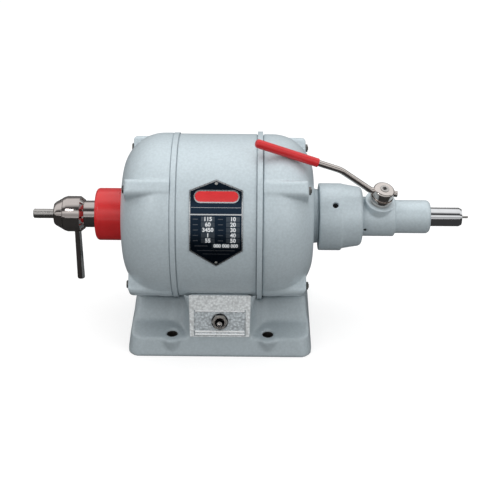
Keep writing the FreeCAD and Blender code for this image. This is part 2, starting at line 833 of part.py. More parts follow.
    hole = sketch_on(piece, "XZ_Plane", "inlet_hole", ("0", "0", f"-{CONSOLE_HALF} / 2"))
    circle(hole, "0", "inlet_height", "inlet_hole_radius")
    padded(piece, "inlet_hole", hole, CONSOLE_HALF, cut=True)

    recess = switch_sketch(piece, "switch_recess", "0")
    outline(recess, rectangle("-switch_recess_length / 2", "switch_recess_length / 2",
                              "-switch_recess_below", "switch_recess_above"))
    padded(piece, "switch_recess", recess, "switch_recess_depth", cut=True)
    window = switch_sketch(piece, "switch_window", "0")
    circle(window, "0", "0", "switch_neck_radius + fit_gap")
    padded(piece, "switch_window", window, "stand_wall + switch_pocket_depth", cut=True)
    return piece


def switch_sketch(piece, name, lift):
    """Start a sketch on the console's leaning front face, at the toggle, lifted outward."""
    return sketch_on(piece, "XZ_Plane", name,
                     ("0", f"toggle_height + ({lift}) * sin({CONSOLE_LEAN})",
                      f"{CONSOLE_FACE} + ({lift}) * cos({CONSOLE_LEAN})"),
                     ((1, 0, 0), f"-{CONSOLE_LEAN}"))


def switch_frame():
    """Place a piece drawn at the origin, looking along Z, at the toggle on the console's face."""
    turn = Rotation(Vector(1, 0, 0), 90 - value(CONSOLE_LEAN))
    return Placement(Vector(0, -value(CONSOLE_FACE), value("toggle_height")), turn)


def bottom_cover():
    """Sheet that closes the stand, let in a little above the bench."""
    piece = new_body("bottom_cover")
    sketch = sketch_on(piece, "XY_Plane", "cover", ("0", "0", "cover_recess - cover_thickness"))
    outline(sketch, rounded_rectangle("cover_half_length", COVER_HALF, "cover_corner"))
    for across in ("cover_screw_across", "-cover_screw_across"):
        for up in (COVER_SCREW, "-" + COVER_SCREW):
            circle(sketch, across, up, "cover_screw_radius + fit_gap")
    padded(piece, "cover", sketch, "cover_thickness")
    return piece


def bottom_cover_screws():
    under = value("cover_recess - cover_thickness")
    head = value("cover_head_height")
    shape = Part.makeCylinder(value("small_head_radius"), head, Vector(0, 0, under - head))
    shape = shape.fuse(Part.makeCylinder(value("cover_screw_radius"), value("cover_screw_length"),
                                         Vector(0, 0, under)))
    places = []
    for across in (-1, 1):
        for up in (-1, 1):
            place = Vector(across * value("cover_screw_across"), up * value(COVER_SCREW), 0)
            places.append(Placement(place, Rotation()))
    return shape_piece("bottom_cover_screws", copies(shape, places))


def saddle_bolts():
    """Two hexagon screws from the hollow of the stand, through saddle and shell, into the stator core."""
    head = value("saddle_head_height")
    under = value("shoulder_ceiling")
    reach = value("axis_height - shell_radius + shell_wall + saddle_bolt_bite") - under
    shape = prism(value("saddle_head_flats"), head).fuse(
        Part.makeCylinder(value("saddle_bolt_radius"), reach + head))
    places = []
    for side in (-1, 1):
        along = value("shell_shift") + side * value("saddle_bolt_spacing / 2")
        places.append(Placement(Vector(along, 0, under - head), Rotation()))
    return shape_piece("saddle_bolts", copies(shape, places))


def cord_bush():
    """Rubber bush of the cord inlet, with its flange against the inlet boss."""
    piece = new_body("cord_bush")
    sketch = sketch_on(piece, "XY_Plane", "bush")
    hole = "(inlet_hole_radius - fit_gap)"
    inner = f"{INLET_FACE} - bush_length"
    outer = f"{INLET_FACE} + bush_flange_thickness"
    outline(sketch, [("inlet_bore_radius", inner), (hole, inner), (hole, INLET_FACE),
                     ("bush_flange_radius", INLET_FACE), ("bush_flange_radius", outer),
                     ("inlet_bore_radius", outer)])
    turning = piece.newObject("PartDesign::Revolution", "bush")
    turning.Profile = sketch
    turning.ReferenceAxis = (sketch, ["V_Axis"])
    turning.Angle = 360
    piece.setExpression("Placement.Base.z", bound("inlet_height"))
    return piece


# Switch, drawn looking along Z with the console's face at z = 0

SWITCH_FLOOR = "-switch_recess_depth"
PLATE_TOP = "(switch_plate_thickness - switch_recess_depth)"
SWITCH_BACK = "(0 - stand_wall - seat_gap)"


def in_console(piece):
    piece.Placement = switch_frame()
    return piece


def switch_plate():
    """Plate in the console's recess, with a bead across its upper end and two across its lower end."""
    piece = new_body("switch_plate")
    sketch = sketch_on(piece, "XY_Plane", "plate", ("0", "0", SWITCH_FLOOR))
    half = "(switch_recess_length / 2 - fit_gap)"
    outline(sketch, rectangle(f"-{half}", half, "fit_gap - switch_recess_below",
                              "switch_recess_above - fit_gap"))
    circle(sketch, "0", "0", "switch_neck_radius + fit_gap")
    padded(piece, "plate", sketch, "switch_plate_thickness")
    beads = sketch_on(piece, "YZ_Plane", "beads")
    for height in ("upper_bead_rise", "-first_bead_drop", "-second_bead_drop"):
        circle(beads, height, PLATE_TOP, "bead_radius")
    padded(piece, "beads", beads, "switch_recess_length - 2 * bead_radius", both=True)
    return in_console(piece)


def switch_body():
    """Housing of the toggle switch with its threaded neck, open for the toggle's ball."""
    piece = new_body("switch_body")
    sketch = sketch_on(piece, "XY_Plane", "housing", ("0", "0", SWITCH_BACK))
    outline(sketch, rectangle("-switch_body_length / 2", "switch_body_length / 2",
                              "-switch_body_width / 2", "switch_body_width / 2"))
    padded(piece, "housing", sketch, "switch_body_depth", backward=True)
    neck = sketch_on(piece, "XY_Plane", "neck", ("0", "0", SWITCH_BACK))
    circle(neck, "0", "0", "switch_neck_radius")
    padded(piece, "neck", neck, f"switch_neck_reach - {SWITCH_BACK}")
    throat = sketch_on(piece, "XZ_Plane", "throat")
    outline(throat, [("0", "-switch_pivot_depth - switch_pocket_depth"),
                     ("switch_throat_radius", "-switch_pivot_depth - switch_pocket_depth"),
                     ("switch_throat_radius", "-switch_pivot_depth"),
                     ("switch_mouth_radius", "switch_neck_reach"), ("0", "switch_neck_reach")])
    cut = piece.newObject("PartDesign::Groove", "throat")
    cut.Profile = throat
    cut.ReferenceAxis = (throat, ["V_Axis"])
    cut.Angle = 360
    pin = sketch_on(piece, "YZ_Plane", "pivot_pin")
    circle(pin, "0", "-switch_pivot_depth", "toggle_pin_radius")
    padded(piece, "pivot_pin", pin, "2 * (switch_throat_radius + toggle_pin_bite)", both=True)
    return in_console(piece)


def switch_terminals():
    """Row of flat blades on the back of the switch."""
    blade = Part.makeBox(value("terminal_thickness"), value("terminal_width"), value("terminal_length"),
                         Vector(-value("terminal_thickness / 2"), -value("terminal_width / 2"),
                                value(f"{SWITCH_BACK} - switch_body_depth - terminal_length")))
    count = int(value("terminal_count"))
    places = [Placement(Vector((index - (count - 1) / 2) * value("terminal_pitch"), 0, 0), Rotation())
              for index in range(count)]
    return shape_piece("switch_terminals", copies(blade, places), switch_frame())


def switch_washer():
    piece = new_body("switch_washer")
    sketch = sketch_on(piece, "XY_Plane", "washer", ("0", "0", PLATE_TOP))
    circle(sketch, "0", "0", "switch_washer_radius")
    circle(sketch, "0", "0", "switch_neck_radius + fit_gap")
    padded(piece, "washer", sketch, "switch_washer_thickness")
    return in_console(piece)


def switch_nut():
    piece = new_body("switch_nut")
    sketch = sketch_on(piece, "XY_Plane", "nut", ("0", "0", f"{PLATE_TOP} + switch_washer_thickness"))
    outline(sketch, hexagon("switch_nut_flats"))
    circle(sketch, "0", "0", "switch_neck_radius + fit_gap")
    padded(piece, "nut", sketch, "switch_nut_thickness")
    return in_console(piece)


def switch_toggle():
    """Bat of the toggle switch, with the ball it tilts about."""
    piece = new_body("switch_toggle")
    sketch = sketch_on(piece, "XZ_Plane", "bat")
    pivot = "-switch_pivot_depth"
    tip = f"({pivot} + toggle_ball_radius + toggle_reach)"
    neck = f"({pivot} + sqrt(toggle_ball_radius^2 - toggle_neck_radius^2))"
    outline(sketch, [("0", f"{pivot} - toggle_ball_radius", "toggle_ball_radius"),
                     ("toggle_ball_radius", pivot, "toggle_ball_radius"),
                     ("toggle_neck_radius", neck),
                     ("toggle_tip_radius", f"{tip} - toggle_tip_radius", "toggle_tip_radius"),
                     ("0", tip)])
    turning = piece.newObject("PartDesign::Revolution", "bat")
    turning.Profile = sketch
    turning.ReferenceAxis = (sketch, ["V_Axis"])
    turning.Angle = 360
    hole = sketch_on(piece, "YZ_Plane", "pivot_hole")
    circle(hole, "0", pivot, "toggle_pin_radius + fit_gap")
    padded(piece, "pivot_hole", hole, "2 * (toggle_ball_radius + overrun)", both=True, cut=True)
    return in_console(piece)


# Motor, standing parts

RIVET_TURN = "asin((plate_half_height - rivet_inset) / shell_radius)"


def motor_shell():
    """Rolled shell between the bells, drilled for the saddle bolts and the nameplate's rivets."""
    piece = new_body("motor_shell")
    turned(piece, "shell", rectangle(LEFT_JOINT, RIGHT_JOINT, SHELL_BORE, "shell_radius"))
    holes = sketch_on(piece, "XY_Plane", "saddle_bolt_holes")
    for sign in ("-", "+"):
        circle(holes, f"shell_shift {sign} saddle_bolt_spacing / 2", "0", "saddle_bolt_radius + fit_gap")
    padded(piece, "saddle_bolt_holes", holes, "shell_radius + overrun", cut=True)
    for name, sign in (("upper", "-"), ("lower", "+")):
        hole = sketch_on(piece, "XY_Plane", name + "_rivet_hole",
                         turn=((1, 0, 0), f"(90 - plate_turn_angle) * 1 deg {sign} {RIVET_TURN}"))
        circle(hole, "shell_shift", "0", "rivet_radius / 2 + fit_gap")
        padded(piece, name + "_rivet_hole", hole, "shell_radius + overrun", backward=True, cut=True)
    return on_shaft(piece)


def end_bell(label, joint, way, dome, rim, lug_length, spigots):
    """Cast end of the motor: groove, rim band, dome, four lugs for the through bolts and a bearing seat.

    Offsets run outward from the joint with the shell, and way says on which side of it they lie.
    """
    def at(offset):
        return f"({joint} {way} ({offset}))"

    piece = new_body(label)
    groove = "(shell_radius - groove_depth)"
    spigot = f"({SHELL_BORE} - fit_gap)"
    corners = [(at("0 - spigot_length"), "0"), (at("0 - spigot_length"), spigot), (at("0"), spigot),
               (at("0"), groove), (at("groove_width"), groove), (at("groove_width"), rim),
               (at("rim_width"), rim), (at("rim_width"), dome),
               (at("bell_length - dome_radius"), dome, "dome_radius" if way == "-" else "-dome_radius"),
               (at("bell_length"), f"{dome} - dome_radius")]
    reach = "bell_length"
    for radius, length in spigots:
        corners += [(at(reach), radius), (at(f"{reach} + {length}"), radius)]
        reach = f"{reach} + {length}"
    corners.append((at(reach), "0"))
    turned(piece, label + "_dome", corners)

    lug = sketch_on(piece, "YZ_Plane", label + "_lug", ("0", "0", at("rim_width")),
                    ((0, 0, 1), "lug_turn_angle"))
    half = "(lug_width / 2)"
    top = f"({dome} + lug_rise)"
    edge = f"({top} - lug_edge_radius)"
    outline(lug, [(f"-{half}", "shell_radius - lug_depth"), (half, "shell_radius - lug_depth"),
                  (half, edge, "lug_edge_radius"), (f"{half} - lug_edge_radius", top),
                  (f"lug_edge_radius - {half}", top, "lug_edge_radius"), (f"-{half}", edge)])
    pad = padded(piece, label + "_lug", lug, f"{lug_length} - rim_width", backward=way == "-")
    around(piece, label + "_lugs", [pad], "lug_count")
    corner = sketch_on(piece, "XZ_Plane", label + "_lug_corner", turn=((1, 0, 0), "lug_turn_angle"))
    outline(corner, [(at(f"{lug_length} - lug_edge_radius"), top,
                      "lug_edge_radius" if way == "-" else "-lug_edge_radius"),
                     (at(lug_length), edge), (at(f"{lug_length} + overrun"), edge),
                     (at(f"{lug_length} + overrun"), f"{top} + overrun"),
                     (at(f"{lug_length} - lug_edge_radius"), f"{top} + overrun")])
    pocket = padded(piece, label + "_lug_corner", corner, "lug_width + overrun", both=True, cut=True)
    around(piece, label + "_lug_corners", [pocket], "lug_count")

    bore = "(journal_radius + shaft_room)"
    seat = "(bearing_outer_radius + fit_gap)"
    deep = "bell_length - bearing_inset"
    if way == "+":
        deep += " + spring_washer_room"
    mouth = "bell_length - bearing_inset - bearing_width - bearing_seat_rim"
    inner = "(dome_radius - bell_wall)"
    turned(piece, label + "_hollow", [
        (at("0 - spigot_length - overrun"), "0"), (at(f"{reach} + overrun"), "0"),
        (at(f"{reach} + overrun"), bore), (at(deep), bore), (at(deep), seat), (at(mouth), seat),
        (at(mouth), f"{seat} + bearing_seat_wall"),
        (at("bell_length - bell_wall"), f"{seat} + bearing_seat_wall"),
        (at("bell_length - bell_wall"), f"{dome} - dome_radius", f"-{inner}" if way == "-" else inner),
        (at("bell_length - dome_radius"), f"{dome} - bell_wall"),
        (at("0"), f"{spigot} - spigot_wall"), (at("0 - spigot_length - overrun"), f"{spigot} - spigot_wall"),
    ], cut=True)

    hole = sketch_on(piece, "YZ_Plane", label + "_bolt_hole", ("0", "0", at("0")),
                     ((0, 0, 1), "lug_turn_angle"))
    circle(hole, "0", LUG_CIRCLE, "through_bolt_radius + fit_gap")
    around(piece, label + "_bolt_holes",
           [padded(piece, label + "_bolt_hole", hole, "2 * bell_length", both=True, cut=True)], "lug_count")
    return on_shaft(piece)


def stator_core():
    """Laminated ring with closed slots, notched outside for the through bolts."""
    piece = new_body("stator_core")
    turned(piece, "core", rectangle(CORE_LEFT, CORE_RIGHT, "core_bore_radius", f"{SHELL_BORE} - fit_gap"))
    slot = sketch_on(piece, "YZ_Plane", "slot", ("0", "0", "shell_shift"))
    outline(slot, rectangle("-slot_width / 2", "slot_width / 2", "core_bore_radius + slot_lip",
                            "core_bore_radius + slot_lip + slot_depth"))
    slots = padded(piece, "slot", slot, "core_length + overrun", both=True, cut=True)
    around(piece, "slots", [slots], "slot_count")
    notch = sketch_on(piece, "YZ_Plane", "notch", ("0", "0", "shell_shift"), ((0, 0, 1), "lug_turn_angle"))
    circle(notch, "0", f"{LUG_CIRCLE} + through_bolt_radius / 2", "bolt_notch_radius")
    notches = padded(piece, "notch", notch, "core_length + overrun", both=True, cut=True)
    around(piece, "notches", [notches], "lug_count")
    holes = sketch_on(piece, "XY_Plane", "saddle_bolt_holes",
                      ("0", "0", f"0 - {SHELL_BORE} + saddle_bolt_bite + overrun"))
    for sign in ("-", "+"):
        circle(holes, f"shell_shift {sign} saddle_bolt_spacing / 2", "0", "saddle_bolt_radius + fit_gap")
    padded(piece, "saddle_bolt_holes", holes, "saddle_bolt_bite + 2 * overrun", cut=True)
    return on_shaft(piece)


def stator_winding():
    """Copper of the stator: a bar in every slot, joined by the overhang at both ends."""
    piece = new_body("stator_winding")
    floor = "(core_bore_radius + slot_lip + slot_lining)"
    top = f"({floor} + slot_depth - 2 * slot_lining)"
    turned(piece, "left_overhang", rectangle(f"{CORE_LEFT} - slot_lining - winding_overhang",
                                             f"{CORE_LEFT} - slot_lining", floor, top))
    bar = sketch_on(piece, "YZ_Plane", "slot_copper", ("0", "0", "shell_shift"))
    outline(bar, rectangle("slot_lining - slot_width / 2", "slot_width / 2 - slot_lining", floor, top))
    bars = padded(piece, "slot_copper", bar, "core_length + 4 * slot_lining", both=True)
    around(piece, "slot_coppers", [bars], "slot_count")
    turned(piece, "right_overhang", rectangle(f"{CORE_RIGHT} + slot_lining",
                                              f"{CORE_RIGHT} + slot_lining + winding_overhang", floor, top))
    return on_shaft(piece)


def around_shaft(shape, radius, first_angle, count, along=0):
    """Place copies of a shape drawn along X about the shaft."""
    places = []
    for index in range(count):
        turn = Rotation(Vector(1, 0, 0), first_angle + index * 360 / count)
        centre = Vector(along, 0, value("axis_height"))
        places.append(Placement(centre + turn.multVec(Vector(0, 0, radius)), turn))
    return copies(shape, places)


LEFT_LUG_END = f"({LEFT_JOINT} - left_lug_length)"
RIGHT_LUG_END = f"({RIGHT_JOINT} + right_lug_length)"


def along_x(shape, along):
    """Lay a shape drawn along Z along X, with its origin at a station of the shaft."""
    shape = shape.copy()
    shape.Placement = Placement(Vector(along, 0, 0), ALONG)
    return shape


def through_bolts():
    head = value("through_head_height")
    length = value(f"{RIGHT_LUG_END} - {LEFT_LUG_END} + through_nut_thickness + through_bolt_end")
    bolt = prism(value("through_head_flats"), head).fuse(
        Part.makeCylinder(value("through_bolt_radius"), length + head))
    bolt = along_x(bolt, value(f"{LEFT_LUG_END} - through_head_height"))
    group = around_shaft(bolt, value(LUG_CIRCLE), value("lug_turn_angle"), int(value("lug_count")))
    return shape_piece("through_bolts", group)


def through_bolt_nuts():
    nut = prism(value("through_head_flats"), value("through_nut_thickness")).cut(
        Part.makeCylinder(value("through_bolt_radius + fit_gap"), value("through_nut_thickness")))
    nut = along_x(nut, value(RIGHT_LUG_END))
    group = around_shaft(nut, value(LUG_CIRCLE), value("lug_turn_angle"), int(value("lug_count")))
    return shape_piece("through_bolt_nuts", group)


def plate_frame(lift):
    """Place a piece drawn across Z on the shell, at the middle of the nameplate."""
    place = facing(value("shell_shift"), value("shell_radius") + lift, value("plate_turn_angle"))
    return place


def nameplate():
    """Thin plate bent round the shell, with a point at its upper and its lower end."""
    half = value("plate_length / 2")
    outline_points = [
        Vector(0, value("plate_half_height"), 0), Vector(half, value("plate_upper_shoulder"), 0),
        Vector(half, -value("plate_lower_shoulder"), 0), Vector(0, -value("plate_half_height"), 0),
        Vector(-half, -value("plate_lower_shoulder"), 0), Vector(-half, value("plate_upper_shoulder"), 0),
    ]
    blank = Part.Face(Part.makePolygon(outline_points + outline_points[:1]))
    blank = blank.extrude(Vector(0, 0, value("shell_radius + overrun")))
    under = value("shell_radius + fit_gap")
    bend = Part.makeCylinder(under + value("plate_thickness"), 2 * half, Vector(-half, 0, 0), Vector(1, 0, 0))
    bend = bend.cut(Part.makeCylinder(under, 2 * half, Vector(-half, 0, 0), Vector(1, 0, 0)))
    shape = blank.common(bend)
    for hole in rivet_places():
        drill = Part.makeCylinder(value("rivet_radius / 2 + fit_gap"), 2 * value("shell_radius"))
        drill.Placement = hole
        shape = shape.cut(drill)
    return shape_piece("nameplate", shape, plate_frame(-value("shell_radius")))


def rivet_places():
    """Turns that carry a direction along Z to the plate's two rivets, about the shaft."""
    reach = value(RIVET_TURN)
    return [Placement(Vector(), Rotation(Vector(1, 0, 0), turn)) for turn in (-reach, reach)]


def nameplate_rivets():
    """Two rivets with domed heads, which hold the nameplate on the shell."""
    top = value("shell_radius + fit_gap + plate_thickness")
    head = value("rivet_head_height")
    radius = value("rivet_radius")
    ball = (radius ** 2 + head ** 2) / (2 * head)
    dome = Part.makeSphere(ball, Vector(0, 0, top + head - ball))
    rivet = dome.common(Part.makeCylinder(radius, head, Vector(0, 0, top)))
    shank = Part.makeCylinder(radius / 2, top - value(SHELL_BORE) - value("seat_gap"),
                              Vector(0, 0, value(SHELL_BORE) + value("seat_gap")))
    group = copies(rivet.fuse(shank), rivet_places())
    return shape_piece("nameplate_rivets", group, plate_frame(-value("shell_radius")))


# Bearings

def bearing_shapes(bore, outer, width, wall, ball, count):
    """Outer ring, inner ring and balls in their cage, about X from x = 0."""
    middle = Vector(width / 2, 0, 0)
    across = Vector(1, 0, 0)
    pitch = (bore + outer) / 2
    race = Part.makeTorus(pitch, ball + value("ball_gap"), middle, across)
    rings = []
    for low, high in ((outer - wall, outer), (bore, bore + wall)):
        ring = Part.makeCylinder(high, width, Vector(), across)
        rings.append(ring.cut(Part.makeCylinder(low, width, Vector(), across)).cut(race))
    half = ball + value("ball_gap + cage_rim")
    cage = Part.makeCylinder(pitch + value("cage_wall / 2"), 2 * half, Vector(width / 2 - half, 0, 0), across)
    cage = cage.cut(Part.makeCylinder(pitch - value("cage_wall / 2"), 2 * half,
                                      Vector(width / 2 - half, 0, 0), across))
    balls = []
    for index in range(count):
        place = middle + Rotation(across, index * 360 / count).multVec(Vector(0, 0, pitch))
        cage = cage.cut(Part.makeSphere(ball + value("ball_gap"), place))
        balls.append(Part.makeSphere(ball, place))
    return rings[0], rings[1], Part.makeCompound([cage] + balls)


def motor_bearing():
    return bearing_shapes(value("journal_radius"), value("bearing_outer_radius"), value("bearing_width"),
                          value("bearing_race_wall"), value("bearing_ball_radius"),
                          int(value("bearing_ball_count")))


def nose_bearing():
    return bearing_shapes(value("nose_bearing_bore_radius"), value("nose_bearing_outer_radius"),
                          value("nose_bearing_width"), value("nose_bearing_race_wall"),
                          value("nose_bearing_ball_radius"), int(value("nose_bearing_ball_count")))


def station(formula):
    return Placement(Vector(value(formula), 0, value("axis_height")), Rotation())


def bearings():
    """Rings of the three bearings as two groups, and each bearing's balls with their cage."""
    large = motor_bearing()
    small = nose_bearing()
    seats = [(large, LEFT_BEARING), (large, RIGHT_BEARING), (small, NOSE_BEARING)]
    pieces = []
    for label, item in (("bearing_outer_rings", 0), ("bearing_inner_rings", 1)):
        rings = []
        for shapes, place in seats:
            rings += copies(shapes[item], [station(place)]).Solids
        pieces.append(shape_piece(label, Part.makeCompound(rings)))
    for label, (shapes, place) in zip(("left_ball_cage", "right_ball_cage", "nose_ball_cage"), seats):
        pieces.append(shape_piece(label, shapes[2], station(place)))
    return pieces


def bearing_spring_washer():
    """Washer that presses the right bearing's outer ring inward."""
    start = f"({RIGHT_BEARING} + bearing_width)"
    return tube("bearing_spring_washer", start, f"{start} + spring_washer_thickness",
                "bearing_outer_radius - bearing_race_wall", "bearing_outer_radius")


def start_switch_plate():
    start = f"({LEFT_BEARING} + bearing_width + bearing_seat_rim)"
    return tube("start_switch_plate", start, f"{start} + contact_plate_thickness",
                "contact_plate_bore", "contact_plate_radius")


# Guard collar and housings on the right

def guard_collar():
    """Red collar on the left bell, open round the chuck's neck."""
    piece = new_body("guard_collar")
    bore = "(left_spigot_radius + fit_gap)"
    turned(piece, "collar", [(LEFT_FACE, bore), (LEFT_FACE, "collar_radius"),
                             (f"{COLLAR_END} + collar_edge_radius", "collar_radius", "collar_edge_radius"),
                             (COLLAR_END, "collar_radius - collar_edge_radius"), (COLLAR_END, bore)])
    hole = sketch_on(piece, "XY_Plane", "screw_hole")
    circle(hole, f"{LEFT_FACE} - collar_screw_along", "0", "collar_screw_radius + fit_gap")
    padded(piece, "screw_hole", hole, "collar_radius + overrun", cut=True)
    return on_shaft(piece)


def guard_collar_screw():
    """Grub screw sunk in the underside of the collar, its end on the bell's spigot."""
    top = value("collar_radius - collar_screw_radius")
    radius = value("collar_screw_radius")
    screw = grub_screw(radius, top - value("left_spigot_radius"), radius)
    return shape_piece("guard_collar_screw", screw,
                       facing(value(f"{LEFT_FACE} - collar_screw_along"), top, -90))


NOSE_SPIGOT = "(nose_thick_radius - nose_spigot_step)"


def adaptor_housing():
    """Stout housing on the right bell's spigot; its rear half is a band set a little lower."""
    piece = new_body("adaptor_housing")
    cavity = "(adaptor_front_radius - adaptor_wall)"
    turned(piece, "adaptor_barrel", [
        (HUB_END, "0"), (HUB_END, "adaptor_radius"), (f"{HUB_END} + adaptor_band_length", "adaptor_radius"),
        (f"{ADAPTOR_END} - adaptor_edge_radius", "adaptor_front_radius", "-adaptor_edge_radius"),
        (ADAPTOR_END, "adaptor_front_radius - adaptor_edge_radius"), (ADAPTOR_END, "0")])
    band = sketch_on(piece, "YZ_Plane", "band", ("0", "0", HUB_END))
    circle(band, "0", "-adaptor_band_drop", "adaptor_band_radius")
    padded(piece, "band", band, "adaptor_band_length")
    spigot_bore = "(right_spigot_radius + fit_gap)"
    spigot_end = f"({HUB_END} + right_spigot_length + spindle_gap / 2)"
    nose_bore = f"({NOSE_SPIGOT} + fit_gap)"
    front = f"({ADAPTOR_END} - adaptor_front_wall)"
    turned(piece, "adaptor_hollow", [
        (f"{HUB_END} - overrun", "0"), (f"{ADAPTOR_END} + overrun", "0"),
        (f"{ADAPTOR_END} + overrun", nose_bore), (front, nose_bore), (front, cavity),
        (spigot_end, cavity), (spigot_end, spigot_bore), (f"{HUB_END} - overrun", spigot_bore)], cut=True)
    hole = sketch_on(piece, "XZ_Plane", "screw_hole", turn=((1, 0, 0), "-adaptor_screw_angle"))
    circle(hole, f"{ADAPTOR_END} - adaptor_screw_setback", "0", "adaptor_screw_radius + fit_gap")
    around(piece, "screw_holes",
           [padded(piece, "screw_hole", hole, "2 * adaptor_radius", backward=True, cut=True)],
           "adaptor_screw_count")
    return on_shaft(piece)


def adaptor_screws():
    """Grub screws sunk deep in the adaptor's band, their ends on the bell's spigot."""
    top = value("right_spigot_radius + adaptor_screw_length")
    radius = value("adaptor_screw_radius")
    screw = grub_screw(radius, value("adaptor_screw_length"), radius)
    along = value(f"{ADAPTOR_END} - adaptor_screw_setback")
    step = 360 / value("adaptor_screw_count")
    places = [facing(along, top, value("adaptor_screw_angle") + index * step)
              for index in range(int(value("adaptor_screw_count")))]
    return shape_piece("adaptor_screws", copies(screw, places))


def lever_turn():
    """Turn of the lever's frame: Z outward along the post, X along the rod's straight end."""
    roll = Rotation(Vector(1, 0, 0), value("lever_roll_angle"))
    return roll.multiply(Rotation(Vector(0, 1, 0), value("lever_lean_angle")))


def lever_frame():
    return Placement(Vector(value("lever_place"), 0, value("axis_height")), lever_turn())


def lever_sketch(piece, name, height):
    """Start a sketch across the lever post's axis in a piece that is drawn about the shaft."""
    sketch = sketch_on(piece, "XY_Plane", name)
    turn = lever_turn()
    sketch.AttachmentOffset = Placement(
        Vector(value("lever_place"), 0, 0) + turn.multVec(Vector(0, 0, value(height))), turn)
    return sketch


def nose_housing():
    """Slim two-step housing of the spindle, with the boss that the lever's post stands in."""
    piece = new_body("nose_housing")
    rear = f"({ADAPTOR_END} - nose_spigot_length)"
    turned(piece, "nose_barrel", [
        (rear, "0"), (rear, NOSE_SPIGOT), (ADAPTOR_END, NOSE_SPIGOT), (ADAPTOR_END, "nose_thick_radius"),
        (f"{NOSE_STEP} - nose_step_chamfer", "nose_thick_radius"),
        (NOSE_STEP, "nose_thick_radius - nose_step_chamfer"), (NOSE_STEP, "nose_thin_radius"),
        (f"{NOSE_END} - nose_edge_radius", "nose_thin_radius", "-nose_edge_radius"),
        (NOSE_END, "nose_thin_radius - nose_edge_radius"), (NOSE_END, "0")])
    boss = lever_sketch(piece, "lever_boss", "lever_boss_root")
    circle(boss, "0", "0", "lever_boss_radius")
    padded(piece, "lever_boss", boss, "lever_boss_top - lever_boss_root")
    seat = "(nose_bearing_outer_radius + fit_gap)"
    bore_end = f"({NOSE_STEP} - nose_step_chamfer)"
    turned(piece, "nose_hollow", [
        (f"{rear} - overrun", "0"), (f"{NOSE_END} + overrun", "0"),
        (f"{NOSE_END} + overrun", "spindle_radius + nose_lip_gap"),
        (f"{NOSE_END} - nose_lip", "spindle_radius + nose_lip_gap"), (f"{NOSE_END} - nose_lip", seat),
        (bore_end, seat), (bore_end, "nose_bore_radius"),
        (f"{rear} - overrun", "nose_bore_radius")], cut=True)
    stem = lever_sketch(piece, "stem_hole", "lever_boss_top + overrun")
    circle(stem, "0", "0", "lever_stem_radius + running_gap")
    padded(piece, "stem_hole", stem, "lever_boss_top - lever_boss_root + overrun", cut=True)
    hole = sketch_on(piece, "XZ_Plane", "screw_hole", turn=((1, 0, 0), "-nose_screw_angle"))
    circle(hole, f"{ADAPTOR_END} + nose_screw_along", "0", "nose_screw_radius + fit_gap")
    around(piece, "screw_holes",
           [padded(piece, "screw_hole", hole, "2 * nose_thick_radius", backward=True, cut=True)],
           "nose_screw_count")
    return on_shaft(piece)


def nose_screws():
    """Small grub screws in the wall of the nose housing."""
    top = value("nose_bore_radius + nose_screw_length")
    screw = grub_screw(value("nose_screw_radius"), value("nose_screw_length"), value("nose_screw_radius"))
    along = value(f"{ADAPTOR_END} + nose_screw_along")
    step = 360 / value("nose_screw_count")
    places = [facing(along, top, value("nose_screw_angle") + index * step)
              for index in range(int(value("nose_screw_count")))]
    return shape_piece("nose_screws", copies(screw, places))


# Turning parts of the motor

def stepped(piece, name, steps):
    """Revolve a shaft from (station, radius) pairs; each radius runs on to the next station."""
    corners = [(steps[0][0], "0")]
    for (start, radius), (end, _) in zip(steps, steps[1:]):
        corners += [(start, radius), (end, radius)]
    corners.append((steps[-1][0], "0"))
    return turned(piece, name, corners)


def motor_shaft():
    piece = new_body("motor_shaft")
    journal = "(journal_radius - fit_gap)"
    stepped(piece, "shaft", [
        (f"{CHUCK_REAR} - chuck_seat_length", "chuck_seat_radius"), (CHUCK_REAR, journal),
        (f"{LEFT_BEARING} + bearing_width", "shaft_core_radius"), (RIGHT_BEARING, journal),
        (f"{HUB_END} + journal_overhang", "spindle_seat_radius"), (SHAFT_END, "")])
    return on_shaft(piece)


BAR_CIRCLE = "(rotor_radius - cage_bar_inset)"


def rotor_core():
    piece = new_body("rotor_core")
    turned(piece, "core", rectangle(CORE_LEFT, CORE_RIGHT, "shaft_core_radius + fit_gap", "rotor_radius"))
    hole = sketch_on(piece, "YZ_Plane", "bar_hole", ("0", "0", "shell_shift"))
    circle(hole, "0", BAR_CIRCLE, "cage_bar_radius + fit_gap")
    holes = padded(piece, "bar_hole", hole, "core_length + overrun", both=True, cut=True)
    around(piece, "bar_holes", [holes], "cage_bar_count")
    return on_shaft(piece)


def rotor_cage():
    """Cast cage of the rotor: bars, two end rings and fan blades on the rings."""
    piece = new_body("rotor_cage")
    low = "(rotor_radius - cage_ring_width)"
    turned(piece, "left_ring", rectangle(f"{CORE_LEFT} - cage_ring_length", CORE_LEFT,
                                         low, "rotor_radius"))
    bar = sketch_on(piece, "YZ_Plane", "bar", ("0", "0", "shell_shift"))
    circle(bar, "0", BAR_CIRCLE, "cage_bar_radius")
    around(piece, "bars", [padded(piece, "bar", bar, "core_length + cage_ring_length", both=True)],
           "cage_bar_count")
    turned(piece, "right_ring", rectangle(CORE_RIGHT, f"{CORE_RIGHT} + cage_ring_length",
                                          low, "rotor_radius"))
    blades = []
    for side, start in (("left", f"{CORE_LEFT} - cage_ring_length - fan_blade_length"),
                        ("right", f"{CORE_RIGHT} + cage_ring_length / 2")):
        blade = sketch_on(piece, "YZ_Plane", side + "_blade", ("0", "0", start))
        outline(blade, rectangle("-fan_blade_thickness / 2", "fan_blade_thickness / 2",
                                 "rotor_radius - fan_blade_height", "rotor_radius - fan_blade_thickness / 2"))
        blades.append(padded(piece, side + "_blade", blade, "fan_blade_length + cage_ring_length / 2"))
    around(piece, "blades", blades, "fan_blade_count")
    return on_shaft(piece)


